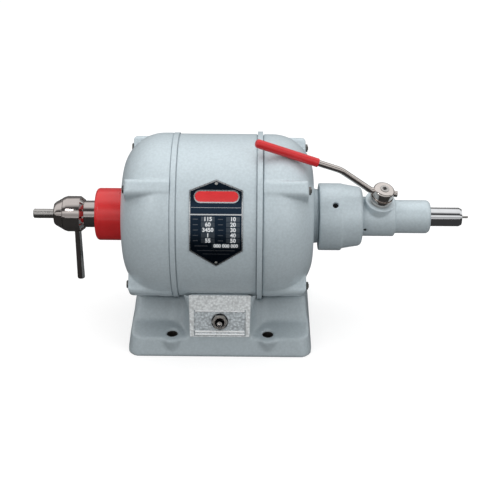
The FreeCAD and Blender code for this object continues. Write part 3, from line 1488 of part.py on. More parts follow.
COLLAR_START = (f"({LEFT_BEARING} + bearing_width + bearing_seat_rim + contact_plate_thickness"
                " + switch_collar_gap)")
GOVERNOR_START = f"({COLLAR_START} + switch_collar_length + governor_gap)"


def switch_collar():
    """Flanged collar that stands at the start switch until the governor draws it away."""
    bore = "(shaft_core_radius + running_gap)"
    piece = new_body("switch_collar")
    turned(piece, "flanged_collar", [
        (COLLAR_START, bore), (COLLAR_START, "switch_collar_flange"),
        (f"{COLLAR_START} + switch_collar_flange_thickness", "switch_collar_flange"),
        (f"{COLLAR_START} + switch_collar_flange_thickness", f"{bore} + switch_collar_wall"),
        (f"{COLLAR_START} + switch_collar_length", f"{bore} + switch_collar_wall"),
        (f"{COLLAR_START} + switch_collar_length", bore)])
    return on_shaft(piece)


def governor():
    """Plate on the shaft with two weights, which draw the collar off the start switch at speed."""
    piece = new_body("governor")
    plate = f"({GOVERNOR_START} + governor_weight_length)"
    turned(piece, "plate", rectangle(plate, f"{plate} + governor_thickness",
                                     "shaft_core_radius + fit_gap", "governor_radius"))
    weight = sketch_on(piece, "YZ_Plane", "weight", ("0", "0", GOVERNOR_START))
    outline(weight, rectangle("-governor_weight_inner_radius / 2", "governor_weight_inner_radius / 2",
                              "governor_weight_inner_radius", "governor_radius - overrun"))
    around(piece, "weights",
           [padded(piece, "weight", weight, "governor_weight_length + governor_thickness")], "2")
    return on_shaft(piece)


# Chuck

def chuck_body():
    """Nose cone, core and neck in one, bored for the mandrel, the shaft and the jaws."""
    piece = new_body("chuck_body")
    bore = "(mandrel_shank_radius + running_gap)"
    seat = "(chuck_seat_radius + fit_gap)"
    bore_end = f"({CHUCK_FRONT} + mandrel_depth + seat_gap)"
    shoulder = f"({SLEEVE_FRONT} - sleeve_front_gap)"
    turned(piece, "chuck", [
        (CHUCK_FRONT, bore), (CHUCK_FRONT, "chuck_nose_front_radius - chuck_nose_chamfer"),
        (f"{CHUCK_FRONT} + chuck_nose_chamfer", "chuck_nose_front_radius"),
        (shoulder, "chuck_nose_rear_radius"), (shoulder, "chuck_neck_radius"),
        (CHUCK_REAR, "chuck_neck_radius"), (CHUCK_REAR, seat), (f"{CHUCK_REAR} - chuck_seat_length", seat),
        (f"{CHUCK_REAR} - chuck_seat_length", "0"), (bore_end, "0"), (bore_end, bore)])
    hole = sketch_on(piece, "YZ_Plane", "jaw_bore",
                     ("0", "jaw_front_offset - overrun * tan(jaw_lean_angle)", f"{CHUCK_FRONT} - overrun"),
                     ((1, 0, 0), "-jaw_lean_angle"))
    circle(hole, "0", "0", "jaw_radius + running_gap")
    around(piece, "jaw_bores",
           [padded(piece, "jaw_bore", hole, "jaw_setback + jaw_length + jaw_travel + seat_gap + overrun",
                   backward=True, cut=True)], "jaw_count")
    return on_shaft(piece)


def jaw_axis(index):
    """Direction in which a jaw runs, back and away from the shaft."""
    lean = math.radians(value("jaw_lean_angle"))
    turn = Rotation(Vector(1, 0, 0), index * 360 / value("jaw_count"))
    return turn.multVec(Vector(math.cos(lean), 0, math.sin(lean)))


def chuck_jaws():
    """Three leaning round jaws, each hollowed where it grips the mandrel."""
    pieces = []
    centre = Placement(Vector(0, 0, value("axis_height")), Rotation())
    grip = Part.makeCylinder(value("mandrel_shank_radius + jaw_grip_gap"), 2 * value("jaw_length"),
                             Vector(value(f"{CHUCK_FRONT} - jaw_length"), 0, 0), Vector(1, 0, 0))
    front = value(CHUCK_FRONT) + value("jaw_setback")
    for index in range(int(value("jaw_count"))):
        axis = jaw_axis(index)
        turn = Rotation(Vector(1, 0, 0), index * 360 / value("jaw_count"))
        start = Vector(front, 0, 0) + turn.multVec(
            Vector(0, 0, value("jaw_front_offset + jaw_setback * tan(jaw_lean_angle)")))
        jaw = Part.makeCylinder(value("jaw_radius"), value("jaw_length"), start, axis).cut(grip)
        pieces.append(shape_piece(f"chuck_jaw_{index + 1}", jaw, centre))
    return pieces


PIN_STATION = f"({SLEEVE_REAR} - sleeve_rear_bevel - tommy_pin_setback)"


def chuck_sleeve():
    """Sleeve that tightens the jaws, with teeth on its rear bevel and a hole for the tommy pin."""
    piece = new_body("chuck_sleeve")
    bore = "(chuck_neck_radius + running_gap)"
    turned(piece, "sleeve", [
        (SLEEVE_FRONT, bore), (SLEEVE_FRONT, "sleeve_front_radius"),
        (f"{SLEEVE_FRONT} + sleeve_front_bevel", "sleeve_radius"),
        (f"{SLEEVE_REAR} - sleeve_rear_bevel", "sleeve_radius"), (SLEEVE_REAR, "sleeve_rear_radius"),
        (SLEEVE_REAR, bore)])
    tooth = sketch_on(piece, "XZ_Plane", "tooth_space")
    outline(tooth, [(f"{SLEEVE_REAR} - sleeve_rear_bevel", "sleeve_radius"),
                    (f"{SLEEVE_REAR} - sleeve_rear_bevel", "sleeve_radius + overrun"),
                    (f"{SLEEVE_REAR} + overrun", "sleeve_radius + overrun"),
                    (f"{SLEEVE_REAR} + overrun", "sleeve_rear_radius - sleeve_tooth_depth / 2"),
                    (f"{SLEEVE_REAR} - sleeve_tooth_depth", "sleeve_rear_radius - sleeve_tooth_depth / 2")])
    around(piece, "teeth", [padded(piece, "tooth_space", tooth, "sleeve_tooth_width", both=True, cut=True)],
           "sleeve_tooth_count")
    hole = sketch_on(piece, "XY_Plane", "pin_hole")
    circle(hole, PIN_STATION, "0", "tommy_pin_radius + running_gap")
    padded(piece, "pin_hole", hole, "sleeve_radius + overrun", cut=True)
    return on_shaft(piece)


def tommy_pin():
    """Bar that turns the sleeve by hand, a little thicker toward its free end."""
    piece = new_body("tommy_pin")
    sketch = sketch_on(piece, "XZ_Plane", "pin")
    end = "(0 - tommy_pin_seat - tommy_pin_length)"
    outline(sketch, [
        ("0", "-tommy_pin_seat"), ("0", end), ("tommy_pin_end_radius - tommy_pin_tip", end, "tommy_pin_tip"),
        ("tommy_pin_end_radius", f"{end} + tommy_pin_tip"),
        ("tommy_pin_radius", "0 - sleeve_radius - overrun"), ("tommy_pin_radius", "-tommy_pin_seat")])
    turning = piece.newObject("PartDesign::Revolution", "pin")
    turning.Profile = sketch
    turning.ReferenceAxis = (sketch, ["V_Axis"])
    turning.Angle = 360
    piece.setExpression("Placement.Base.x", bound(PIN_STATION))
    return on_shaft(piece)


def mandrel():
    """Round arbor in the chuck, which a wheel or brush is put on."""
    piece = new_body("mandrel")
    turned(piece, "arbor", [
        (MANDREL_END, "0"), (MANDREL_END, "mandrel_radius - mandrel_chamfer"),
        (f"{MANDREL_END} + mandrel_chamfer", "mandrel_radius"),
        (f"{CHUCK_FRONT} - seat_gap", "mandrel_radius"),
        (f"{CHUCK_FRONT} - seat_gap", "mandrel_shank_radius"),
        (f"{CHUCK_FRONT} + mandrel_depth", "mandrel_shank_radius"), (f"{CHUCK_FRONT} + mandrel_depth", "0")])
    return on_shaft(piece)


# Spindle and collet

def spindle():
    """Hollow spindle on the right end of the shaft: socket, spring chamber, journal and thread."""
    piece = new_body("spindle")
    bore = "(drawbar_radius + drawbar_bore_gap)"
    journal = "(nose_bearing_bore_radius - fit_gap)"
    nose_seat = f"({NOSE_END} - nose_lip)"
    turned(piece, "tube", [
        (SPINDLE_START, "spindle_seat_radius + fit_gap"), (SPINDLE_START, "spindle_socket_radius"),
        (SOCKET_END, "spindle_socket_radius"), (SOCKET_END, "spindle_radius"),
        (NOSE_BEARING, "spindle_radius"),
        (NOSE_BEARING, journal), (nose_seat, journal), (nose_seat, "spindle_thread_radius"),
        (THREAD_END, "spindle_thread_radius"), (THREAD_END, bore), (CHAMBER_END, bore),
        (CHAMBER_END, "spring_chamber_radius"), (SHAFT_END, "spring_chamber_radius"),
        (SHAFT_END, "spindle_seat_radius + fit_gap")])
    slot = sketch_on(piece, "XY_Plane", "pin_slot")
    half = "(release_pin_radius + fit_gap)"
    outline(slot, rectangle(f"{RING_MIDDLE} - {half} - fit_gap",
                            f"{RING_MIDDLE} + {half} + release_travel + fit_gap", f"-{half}", half))
    padded(piece, "pin_slot", slot, "2 * (spindle_radius + overrun)", both=True, cut=True)
    return on_shaft(piece)


def spindle_nose():
    """Bright end of the spindle, bored to the collet's cone."""
    piece = new_body("spindle_nose")
    start = f"({NOSE_END} - nose_lip)"
    bottom = f"({THREAD_END} + spindle_thread_end_gap)"
    cone_start = f"({COLLET_FRONT} - collet_cone_length)"
    turned(piece, "nose", [
        (start, "spindle_thread_radius + fit_gap"), (start, "spindle_radius"),
        (f"{SPINDLE_END} - spindle_end_chamfer", "spindle_radius"),
        (SPINDLE_END, "spindle_radius - spindle_end_chamfer / 2"),
        (SPINDLE_END, "collet_cone_radius + collet_cone_gap"),
        (cone_start, "collet_radius + collet_cone_gap"),
        (bottom, "collet_radius + collet_cone_gap"), (bottom, "spindle_thread_radius + fit_gap")])
    return on_shaft(piece)


def disc_springs():
    """Stack of cone washers that draws the collet shut."""
    start = value(DRAWBAR_NUT_END)
    pitch = (value(CHAMBER_END) - start) / value("spring_count")
    inner, outer = value("spring_inner_radius"), value("spring_outer_radius")
    thick, high = value("spring_thickness"), value("spring_height")
    discs = []
    for index in range(int(value("spring_count"))):
        low, far = (0, high - thick) if index % 2 else (high - thick, 0)
        left = start + index * pitch
        section = Part.makePolygon([
            Vector(left + low, 0, inner), Vector(left + far, 0, outer), Vector(left + far + thick, 0, outer),
            Vector(left + low + thick, 0, inner), Vector(left + low, 0, inner)])
        discs.append(Part.Face(section).revolve(Vector(), Vector(1, 0, 0), 360))
    return shape_piece("disc_springs", Part.makeCompound(discs),
                       Placement(Vector(0, 0, value("axis_height")), Rotation()))


def drawbar():
    """Rod in the spindle between the springs' nut and the collet."""
    piece = new_body("drawbar")
    stepped(piece, "rod", [(DRAWBAR_START, "drawbar_radius"), (COLLET_REAR, "collet_stub_radius"),
                           (f"{COLLET_REAR} + collet_stub_length", "")])
    hole = sketch_on(piece, "XY_Plane", "pin_hole")
    circle(hole, RING_MIDDLE, "0", "release_pin_radius + fit_gap")
    padded(piece, "pin_hole", hole, "2 * (drawbar_radius + overrun)", both=True, cut=True)
    return on_shaft(piece)


def drawbar_nut():
    """Nut on the drawbar's rear end, which the springs press on."""
    return tube("drawbar_nut", DRAWBAR_NUT_START, DRAWBAR_NUT_END, "drawbar_radius + fit_gap",
                "drawbar_nut_radius")


def collet():
    """Split collet with a cone at its front, which grips the bur's shank."""
    piece = new_body("collet")
    bore = "(shank_radius + running_gap / 2)"
    stub = "(collet_stub_radius + fit_gap)"
    stub_end = f"({COLLET_REAR} + collet_stub_length + fit_gap)"
    turned(piece, "jaws", [
        (COLLET_REAR, stub), (COLLET_REAR, "collet_radius"),
        (f"{COLLET_FRONT} - collet_cone_length", "collet_radius"), (COLLET_FRONT, "collet_cone_radius"),
        (COLLET_FRONT, bore), (stub_end, bore), (stub_end, stub)])
    slit = sketch_on(piece, "XZ_Plane", "slit")
    outline(slit, rectangle(f"{COLLET_FRONT} - collet_slit_length", f"{COLLET_FRONT} + overrun",
                            "0", "collet_cone_radius + overrun"))
    slits = padded(piece, "slit", slit, "collet_slit", both=True, cut=True)
    around(piece, "slits", [slits], "collet_slit_count")
    return on_shaft(piece)


def release_ring():
    """Ring round the spindle that the thrust sleeve pushes, pinned to the drawbar."""
    piece = new_body("release_ring")
    turned(piece, "ring", rectangle(RING_START, f"{RING_START} + release_ring_length",
                                    "spindle_radius + running_gap", "release_ring_radius"))
    hole = sketch_on(piece, "XY_Plane", "pin_hole")
    circle(hole, RING_MIDDLE, "0", "release_pin_radius + fit_gap")
    padded(piece, "pin_hole", hole, "2 * (release_ring_radius + overrun)", both=True, cut=True)
    return on_shaft(piece)


def release_pin():
    """Pin through ring, spindle slot and drawbar."""
    length = 2 * value("release_ring_radius - seat_gap")
    pin = Part.makeCylinder(value("release_pin_radius"), length, Vector(0, 0, -length / 2))
    return shape_piece("release_pin", pin, station(RING_MIDDLE))


def bur_shank():
    """Steel shank held in the collet."""
    piece = new_body("bur_shank")
    start = f"({COLLET_FRONT} - shank_depth)"
    end = f"({SPINDLE_END} + shank_reach)"
    turned(piece, "shank", [(start, "0"), (start, "shank_radius"), (f"{end} - shank_chamfer", "shank_radius"),
                            (end, "shank_radius - shank_chamfer"), (end, "0")])
    return on_shaft(piece)


def thrust_sleeve():
    """Sleeve round the spindle that the lever's cam pin moves along."""
    piece = new_body("thrust_sleeve")
    outer = "(nose_bore_radius - running_gap)"
    inner = "(spindle_radius + thrust_sleeve_bore_gap)"
    end = f"({RING_START} - thrust_sleeve_gap)"
    start = f"({end} - thrust_sleeve_length)"
    middle = "(lever_place + (cam_pin_end + nose_bore_radius) / 2 * sin(lever_lean_angle))"
    floor = f"({outer} - thrust_groove_depth)"
    turned(piece, "grooved_sleeve", [
        (start, inner), (start, outer), (f"{middle} - thrust_groove_width / 2", outer),
        (f"{middle} - thrust_groove_width / 2", floor), (f"{middle} + thrust_groove_width / 2", floor),
        (f"{middle} + thrust_groove_width / 2", outer), (end, outer), (end, inner)])
    return on_shaft(piece)


# Release lever, drawn in the frame of its post: Z out along the post, X toward the rod's stub

def lever_post():
    """Bright barrel with its stem, eccentric pin and rod hole."""
    piece = new_body("lever_post")
    foot = "(lever_boss_top + seat_gap)"
    neck = "(lever_barrel_top + lever_neck_height)"
    sketch = sketch_on(piece, "XZ_Plane", "post")
    outline(sketch, [
        ("0", "lever_stem_end"), ("lever_stem_radius", "lever_stem_end"), ("lever_stem_radius", foot),
        ("lever_foot_radius", foot), ("lever_barrel_radius", f"{foot} + lever_foot_height"),
        ("lever_barrel_radius", "lever_barrel_top"), ("lever_neck_radius", "lever_barrel_top"),
        ("lever_neck_radius", neck), ("lever_head_radius", neck),
        ("lever_head_radius", "lever_head_top - lever_head_bevel", "lever_head_bevel"),
        ("lever_head_radius - lever_head_bevel", "lever_head_top"), ("0", "lever_head_top")])
    turning = piece.newObject("PartDesign::Revolution", "post")
    turning.Profile = sketch
    turning.ReferenceAxis = (sketch, ["V_Axis"])
    turning.Angle = 360
    pin = sketch_on(piece, "XY_Plane", "cam_pin", ("0", "0", "cam_pin_end"))
    circle(pin, "0", "cam_pin_offset", "cam_pin_radius")
    padded(piece, "cam_pin", pin, "lever_stem_end - cam_pin_end + overrun")
    hole = sketch_on(piece, "YZ_Plane", "rod_hole")
    circle(hole, "0", "lever_rod_height", "lever_rod_radius + fit_gap")
    padded(piece, "rod_hole", hole, "2 * (lever_barrel_radius + overrun)", both=True, cut=True)
    hole = sketch_on(piece, "XY_Plane", "screw_hole", ("0", "0", "lever_head_top + overrun"))
    circle(hole, "0", "0", "lever_screw_radius + fit_gap")
    padded(piece, "screw_hole", hole, "lever_head_top + overrun - lever_rod_height", cut=True)
    piece.Placement = lever_frame()
    return piece


def lever_set_screw():
    """Grub screw in the top of the head, which clamps the rod."""
    height = value("lever_rod_height + lever_rod_radius + lever_screw_length")
    top = Placement(Vector(0, 0, height), Rotation())
    screw = grub_screw(value("lever_screw_radius"), value("lever_screw_length"), value("lever_screw_socket"))
    return shape_piece("lever_set_screw", screw, lever_frame().multiply(top))


def rounded_path(points, radii):
    """Join points by straight runs, with an arc of the given radius at each inner point."""
    edges = []
    start = points[0]
    for before, corner, after, radius in zip(points, points[1:], points[2:], radii):
        inward = (before - corner).normalize()
        onward = (after - corner).normalize()
        half = inward.getAngle(onward) / 2
        first = corner + inward * (radius / math.tan(half))
        last = corner + onward * (radius / math.tan(half))
        middle = corner + (inward + onward).normalize() * (radius / math.sin(half) - radius)
        edges += [Part.LineSegment(start, first).toShape(), Part.Arc(first, middle, last).toShape()]
        start = last
    edges.append(Part.LineSegment(start, points[-1]).toShape())
    return Part.Wire(edges)


def lever_points():
    """Axis of the lever's rod, from its stub to the grip's free end."""
    return [Vector(value("lever_stub_reach"), 0, value("lever_rod_height")),
            Vector(-value("lever_first_bend"), 0, value("lever_rod_height")),
            Vector(-value("lever_second_bend"), 0, value("lever_second_height")),
            Vector(-value("lever_tip_reach"), 0, value("lever_tip_height"))]


def lever_rod():
    """Round rod, bent twice, from the stub beyond the head into the grip."""
    points = lever_points()
    run = (points[3] - points[2]).normalize()
    points[3] = points[3] - run * value("lever_rod_setback")
    path = rounded_path(points, [value("lever_first_bend_radius"), value("lever_bend_radius")])
    ring = Part.Wire(Part.makeCircle(value("lever_rod_radius"), points[0], Vector(1, 0, 0)))
    rod = path.makePipeShell([ring], True, False)
    return shape_piece("lever_rod", rod, lever_frame())


def lever_grip():
    """Vinyl grip over the rod's free end."""
    points = lever_points()
    start = points[2] + (points[3] - points[2]) * value("grip_start_share")
    run = points[3] - start
    piece = new_body("lever_grip")
    sketch = sketch_on(piece, "XZ_Plane", "grip")
    reach = "((lever_second_bend - lever_tip_reach)^2 + (lever_second_height - lever_tip_height)^2)"
    length = f"(sqrt({reach}) * (1 - grip_start_share))"
    bore = "(lever_rod_radius + fit_gap)"
    outline(sketch, [
        ("0", bore), (f"{length} - lever_rod_setback + fit_gap", bore),
        (f"{length} - lever_rod_setback + fit_gap", "0"), (length, "0"),
        (length, "grip_radius - grip_end_radius", "grip_end_radius"),
        (f"{length} - grip_end_radius", "grip_radius"), ("0", "grip_radius")])
    turning = piece.newObject("PartDesign::Revolution", "grip")
    turning.Profile = sketch
    turning.ReferenceAxis = (sketch, ["H_Axis"])
    turning.Angle = 360
    along = Rotation(Vector(1, 0, 0), run)
    piece.Placement = lever_frame().multiply(Placement(start, along))
    return piece


# Assembly

def left_end_bell():
    return end_bell("left_end_bell", LEFT_JOINT, "-", LEFT_DOME, LEFT_RIM, "left_lug_length",
                    [("left_spigot_radius", "left_spigot_length")])


def right_end_bell():
    spigots = [("right_hub_radius", "right_hub_length"), ("right_spigot_radius", "right_spigot_length")]
    return end_bell("right_end_bell", RIGHT_JOINT, "+", "shell_radius", RIGHT_RIM, "right_lug_length",
                    spigots)


pieces = [
    base_casting(), bottom_cover(), bottom_cover_screws(), saddle_bolts(), cord_bush(),
    switch_plate(), switch_body(), switch_terminals(), switch_washer(), switch_nut(), switch_toggle(),
    motor_shell(), left_end_bell(), right_end_bell(), stator_core(), stator_winding(),
    through_bolts(), through_bolt_nuts(), nameplate(), nameplate_rivets(),
    *bearings(), bearing_spring_washer(), start_switch_plate(), guard_collar(), guard_collar_screw(),
    adaptor_housing(), adaptor_screws(), nose_housing(), nose_screws(),
    motor_shaft(), rotor_core(), rotor_cage(), switch_collar(), governor(),
    chuck_body(), *chuck_jaws(), chuck_sleeve(), tommy_pin(), mandrel(),
    spindle(), spindle_nose(), disc_springs(), drawbar(), drawbar_nut(), collet(), release_ring(),
    release_pin(), bur_shank(), thrust_sleeve(), lever_post(), lever_set_screw(), lever_rod(), lever_grip(),
]
doc.recompute()

faults = [item.Name for item in doc.Objects if {"Invalid", "Error"} & set(item.State)]
for item in doc.Objects:
    if item.TypeId in ("PartDesign::Pocket", "PartDesign::Groove"):
        if item.Shape.isNull() or item.Shape.Volume >= item.BaseFeature.Shape.Volume:
            faults.append(item.Name + " cuts nothing")
for piece in pieces:
    if piece.Shape.isNull() or not piece.Shape.isValid() or piece.Shape.Volume <= 0:
        faults.append(piece.Label + " has no sound shape")
if faults:
    raise SystemExit("faults: " + ", ".join(faults))

for piece in pieces:
    piece.Shape.exportStep(f"parts/{piece.Label}.step")
print(len(pieces), "pieces written")
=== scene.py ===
import math

import bmesh
import bpy
from mathutils import Matrix, Vector


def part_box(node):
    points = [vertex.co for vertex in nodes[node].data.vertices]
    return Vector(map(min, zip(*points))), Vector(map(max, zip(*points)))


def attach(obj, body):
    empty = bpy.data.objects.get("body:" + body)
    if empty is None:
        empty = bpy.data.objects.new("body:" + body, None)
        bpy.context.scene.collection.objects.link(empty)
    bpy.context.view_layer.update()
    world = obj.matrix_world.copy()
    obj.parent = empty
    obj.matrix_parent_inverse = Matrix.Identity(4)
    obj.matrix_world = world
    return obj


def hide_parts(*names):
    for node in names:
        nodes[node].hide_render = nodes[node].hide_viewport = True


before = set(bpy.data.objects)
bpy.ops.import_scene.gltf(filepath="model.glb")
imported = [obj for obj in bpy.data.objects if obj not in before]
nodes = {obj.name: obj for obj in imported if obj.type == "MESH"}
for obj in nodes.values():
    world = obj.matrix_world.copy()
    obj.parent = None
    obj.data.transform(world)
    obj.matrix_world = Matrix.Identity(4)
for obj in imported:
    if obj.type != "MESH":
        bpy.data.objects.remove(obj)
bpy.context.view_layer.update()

scene = bpy.context.scene
scene.view_settings.view_transform = "Standard"


# Camera
# It stands where the photograph was taken: a long lens, well above the shaft, almost square on.
aim = Vector((0.0296, 0.0, 0.0818))
distance = 1.222
pitch = math.radians(28.0)
yaw = math.radians(0.33)
roll = math.radians(0.35)
focal_pixels = 1179.0
frame_pixels = 500.0
back = Vector((math.sin(yaw) * math.cos(pitch), -math.cos(yaw) * math.cos(pitch), math.sin(pitch)))
lens = bpy.data.cameras.new("photo_camera")
lens.sensor_width = 36.0
lens.lens = lens.sensor_width * focal_pixels / frame_pixels
lens.clip_start = 0.05
camera = bpy.data.objects.new("photo_camera", lens)
camera.location = aim + back * distance
camera.rotation_mode = "QUATERNION"
camera.rotation_quaternion = (
    (-back).to_track_quat("-Z", "Y") @ Matrix.Rotation(roll, 3, "Z").to_quaternion())
scene.collection.objects.link(camera)
scene.camera = camera


# Table, backdrop and studio light
# A pale table that keeps a soft shadow, a white room, one large lamp above and weaker ones at the sides
# and behind. What metal reflects is bands of light and dark, as a room gives, and a small window.
def tree_of(datablock):
    """Empty the node tree of a material or world and return its nodes and a linking function."""
    datablock.use_nodes = True
    tree = datablock.node_tree
    tree.nodes.clear()
    return tree.nodes, tree.links.new


def table_paper():
    paper = bpy.data.materials.new("table_paper")
    made, join = tree_of(paper)
    matt = made.new("ShaderNodeBsdfDiffuse")
    tone = made.new("ShaderNodeMix")
    tone.data_type = "RGBA"
    tone.inputs["A"].default_value = (0.34, 0.34, 0.34, 1.0)
    tone.inputs["B"].default_value = (0.04, 0.04, 0.04, 1.0)
    glow = made.new("ShaderNodeEmission")
    glow.inputs["Color"].default_value = (1.0, 1.0, 1.0, 1.0)
    rays = made.new("ShaderNodeLightPath")
    glowing = made.new("ShaderNodeMath")
    glowing.operation = "MULTIPLY"
    glowing.inputs[1].default_value = 0.69
    both = made.new("ShaderNodeAddShader")
    result = made.new("ShaderNodeOutputMaterial")
    join(rays.outputs["Is Camera Ray"], glowing.inputs[0])
    join(rays.outputs["Is Glossy Ray"], tone.inputs["Factor"])
    join(tone.outputs["Result"], matt.inputs["Color"])
    join(glowing.outputs[0], glow.inputs["Strength"])
    join(matt.outputs[0], both.inputs[0])
    join(glow.outputs[0], both.inputs[1])
    join(both.outputs[0], result.inputs["Surface"])
    return paper


table_half = 6.0
table_mesh = bpy.data.meshes.new("table")
table_mesh.from_pydata([(-table_half, -table_half, 0), (table_half, -table_half, 0),
                        (table_half, table_half, 0), (-table_half, table_half, 0)], [], [(0, 1, 2, 3)])
table_mesh.materials.append(table_paper())
table = bpy.data.objects.new("table", table_mesh)
scene.collection.objects.link(table)

room = bpy.data.worlds.new("room")
scene.world = room
made, join = tree_of(room)
place = made.new("ShaderNodeTexCoord")
split = made.new("ShaderNodeSeparateXYZ")
bands = made.new("ShaderNodeValToRGB")
stops = [(0.0, 0.70), (0.06, 0.42), (0.13, 0.50), (0.18, 1.0), (0.23, 0.9), (0.28, 0.05), (0.38, 0.09),
         (0.43, 0.55), (0.49, 0.95), (0.76, 1.0), (0.84, 0.25), (1.0, 0.15)]
while len(bands.color_ramp.elements) < len(stops):
    bands.color_ramp.elements.new(0.5)
for stop, (where, grey) in zip(bands.color_ramp.elements, stops):
    stop.position = where
    stop.color = (grey, grey, grey, 1.0)
toward_viewer = made.new("ShaderNodeMath")
toward_viewer.operation = "MULTIPLY"
toward_viewer.inputs[1].default_value = -1.0
overhead = made.new("ShaderNodeMath")
overhead.operation = "ARCTAN2"
share = made.new("ShaderNodeMath")
share.operation = "DIVIDE"
share.inputs[1].default_value = math.pi
mirrored = made.new("ShaderNodeBackground")
mirrored.inputs["Strength"].default_value = 1.1
ambient = made.new("ShaderNodeBackground")
ambient.inputs["Color"].default_value = (1.0, 1.0, 1.0, 1.0)
ambient.inputs["Strength"].default_value = 0.62
white = made.new("ShaderNodeBackground")
white.inputs["Color"].default_value = (1.0, 1.0, 1.0, 1.0)
rays = made.new("ShaderNodeLightPath")
by_gloss = made.new("ShaderNodeMixShader")
by_eye = made.new("ShaderNodeMixShader")
result = made.new("ShaderNodeOutputWorld")
join(place.outputs["Generated"], split.inputs[0])
join(split.outputs["Y"], toward_viewer.inputs[0])
join(split.outputs["Z"], overhead.inputs[0])
join(toward_viewer.outputs[0], overhead.inputs[1])
join(overhead.outputs[0], share.inputs[0])
join(share.outputs[0], bands.inputs["Fac"])
join(bands.outputs["Color"], mirrored.inputs["Color"])
join(rays.outputs["Is Glossy Ray"], by_gloss.inputs["Fac"])
join(ambient.outputs[0], by_gloss.inputs[1])
join(mirrored.outputs[0], by_gloss.inputs[2])
join(rays.outputs["Is Camera Ray"], by_eye.inputs["Fac"])
join(by_gloss.outputs[0], by_eye.inputs[1])
join(white.outputs[0], by_eye.inputs[2])
join(by_eye.outputs[0], result.inputs["Surface"])


def soft_lamp(name, place, width, height, watts, mirrored=False):
    """A rectangular lamp turned to the object; only a mirrored one is seen in polished metal."""
    light = bpy.data.lights.new(name, "AREA")
    light.shape = "RECTANGLE"
    light.size = width
    light.size_y = height
    light.energy = watts
    lamp = bpy.data.objects.new(name, light)
    lamp.location = place
    lamp.visible_glossy = mirrored
    lamp.rotation_mode = "QUATERNION"
    lamp.rotation_quaternion = (aim - Vector(place)).to_track_quat("-Z", "Y")
    scene.collection.objects.link(lamp)


soft_lamp("lamp_above", (0.05, 0.15, 1.5), 1.8, 1.2, 14.0)
soft_lamp("lamp_window", (-0.75, -0.9, 1.25), 0.35, 0.25, 1.6, mirrored=True)
soft_lamp("lamp_left", (-1.0, -1.1, 0.95), 0.9, 0.9, 2.9)
soft_lamp("lamp_right", (1.2, -0.9, 0.90), 0.9, 0.9, 6.4)
soft_lamp("lamp_back", (0.1, 1.3, 0.9), 1.4, 0.6, 2.6)


# Stand
# Sand-cast iron, hollow below, with the saddle for the motor. Its edges and inner corners are round
# from the mould and the console flares toward the saddle, so the casting is made again as one soft skin.
def enamel(name, colour, cell=0.0024, depth=0.00005, rounding=0.0008, gloss=0.40, metal=0.12, mottle=0.06):
    """Hammered film on metal: shallow cells of one size and depth, and a mottle of its colour."""
    paint = bpy.data.materials.new(name)
    made, join = tree_of(paint)
    place = made.new("ShaderNodeTexCoord")
    swirl = made.new("ShaderNodeTexNoise")
    swirl.inputs["Scale"].default_value = 0.5 / cell
    swirl.inputs["Detail"].default_value = 1.0
    moved = made.new("ShaderNodeVectorMath")
    moved.operation = "MULTIPLY_ADD"
    moved.inputs[1].default_value = (cell, cell, cell)
    cells = made.new("ShaderNodeTexVoronoi")
    cells.feature = "SMOOTH_F1"
    cells.inputs["Scale"].default_value = 1.0 / cell
    cells.inputs["Smoothness"].default_value = 0.55
    flow = made.new("ShaderNodeTexNoise")
    flow.inputs["Scale"].default_value = 60.0
    flow.inputs["Detail"].default_value = 3.0
    relief = made.new("ShaderNodeMath")
    relief.operation = "MULTIPLY_ADD"
    relief.inputs[1].default_value = 0.35
    tint = made.new("ShaderNodeValToRGB")
    tint.color_ramp.elements[0].position = 0.25
    tint.color_ramp.elements[0].color = (*(part * 1.05 for part in colour), 1.0)
    tint.color_ramp.elements[1].position = 0.95
    tint.color_ramp.elements[1].color = (*(part * (1.0 - mottle) for part in colour), 1.0)
    shine = made.new("ShaderNodeMapRange")
    shine.inputs["To Min"].default_value = gloss - 0.08
    shine.inputs["To Max"].default_value = gloss + 0.12
    edge = made.new("ShaderNodeBevel")
    edge.samples = 4
    edge.inputs["Radius"].default_value = rounding
    bump = made.new("ShaderNodeBump")
    bump.inputs["Strength"].default_value = 0.75
    bump.inputs["Distance"].default_value = depth
    film = made.new("ShaderNodeBsdfPrincipled")
    film.inputs["Metallic"].default_value = metal
    film.inputs["Coat Weight"].default_value = 0.3
    film.inputs["Coat Roughness"].default_value = 0.20
    result = made.new("ShaderNodeOutputMaterial")
    join(place.outputs["Object"], swirl.inputs["Vector"])
    join(swirl.outputs["Color"], moved.inputs[0])
    join(place.outputs["Object"], moved.inputs[2])
    join(moved.outputs[0], cells.inputs["Vector"])
    join(place.outputs["Object"], flow.inputs["Vector"])
    join(flow.outputs["Fac"], relief.inputs[0])
    join(cells.outputs["Distance"], relief.inputs[2])
    join(relief.outputs[0], tint.inputs["Fac"])
    join(relief.outputs[0], bump.inputs["Height"])
    join(flow.outputs["Fac"], shine.inputs["Value"])
    join(edge.outputs[0], bump.inputs["Normal"])
    join(tint.outputs["Color"], film.inputs["Base Color"])
    join(shine.outputs["Result"], film.inputs["Roughness"])
    join(bump.outputs[0], film.inputs["Normal"])
    join(bump.outputs[0], film.inputs["Coat Normal"])
    join(film.outputs[0], result.inputs["Surface"])
    return paint


def merged(node):
    """Copy a CAD node's triangles into a bmesh with its corners joined."""
    form = bmesh.new()
    form.from_mesh(nodes[node].data)
    bmesh.ops.remove_doubles(form, verts=form.verts, dist=1e-6)
    return form


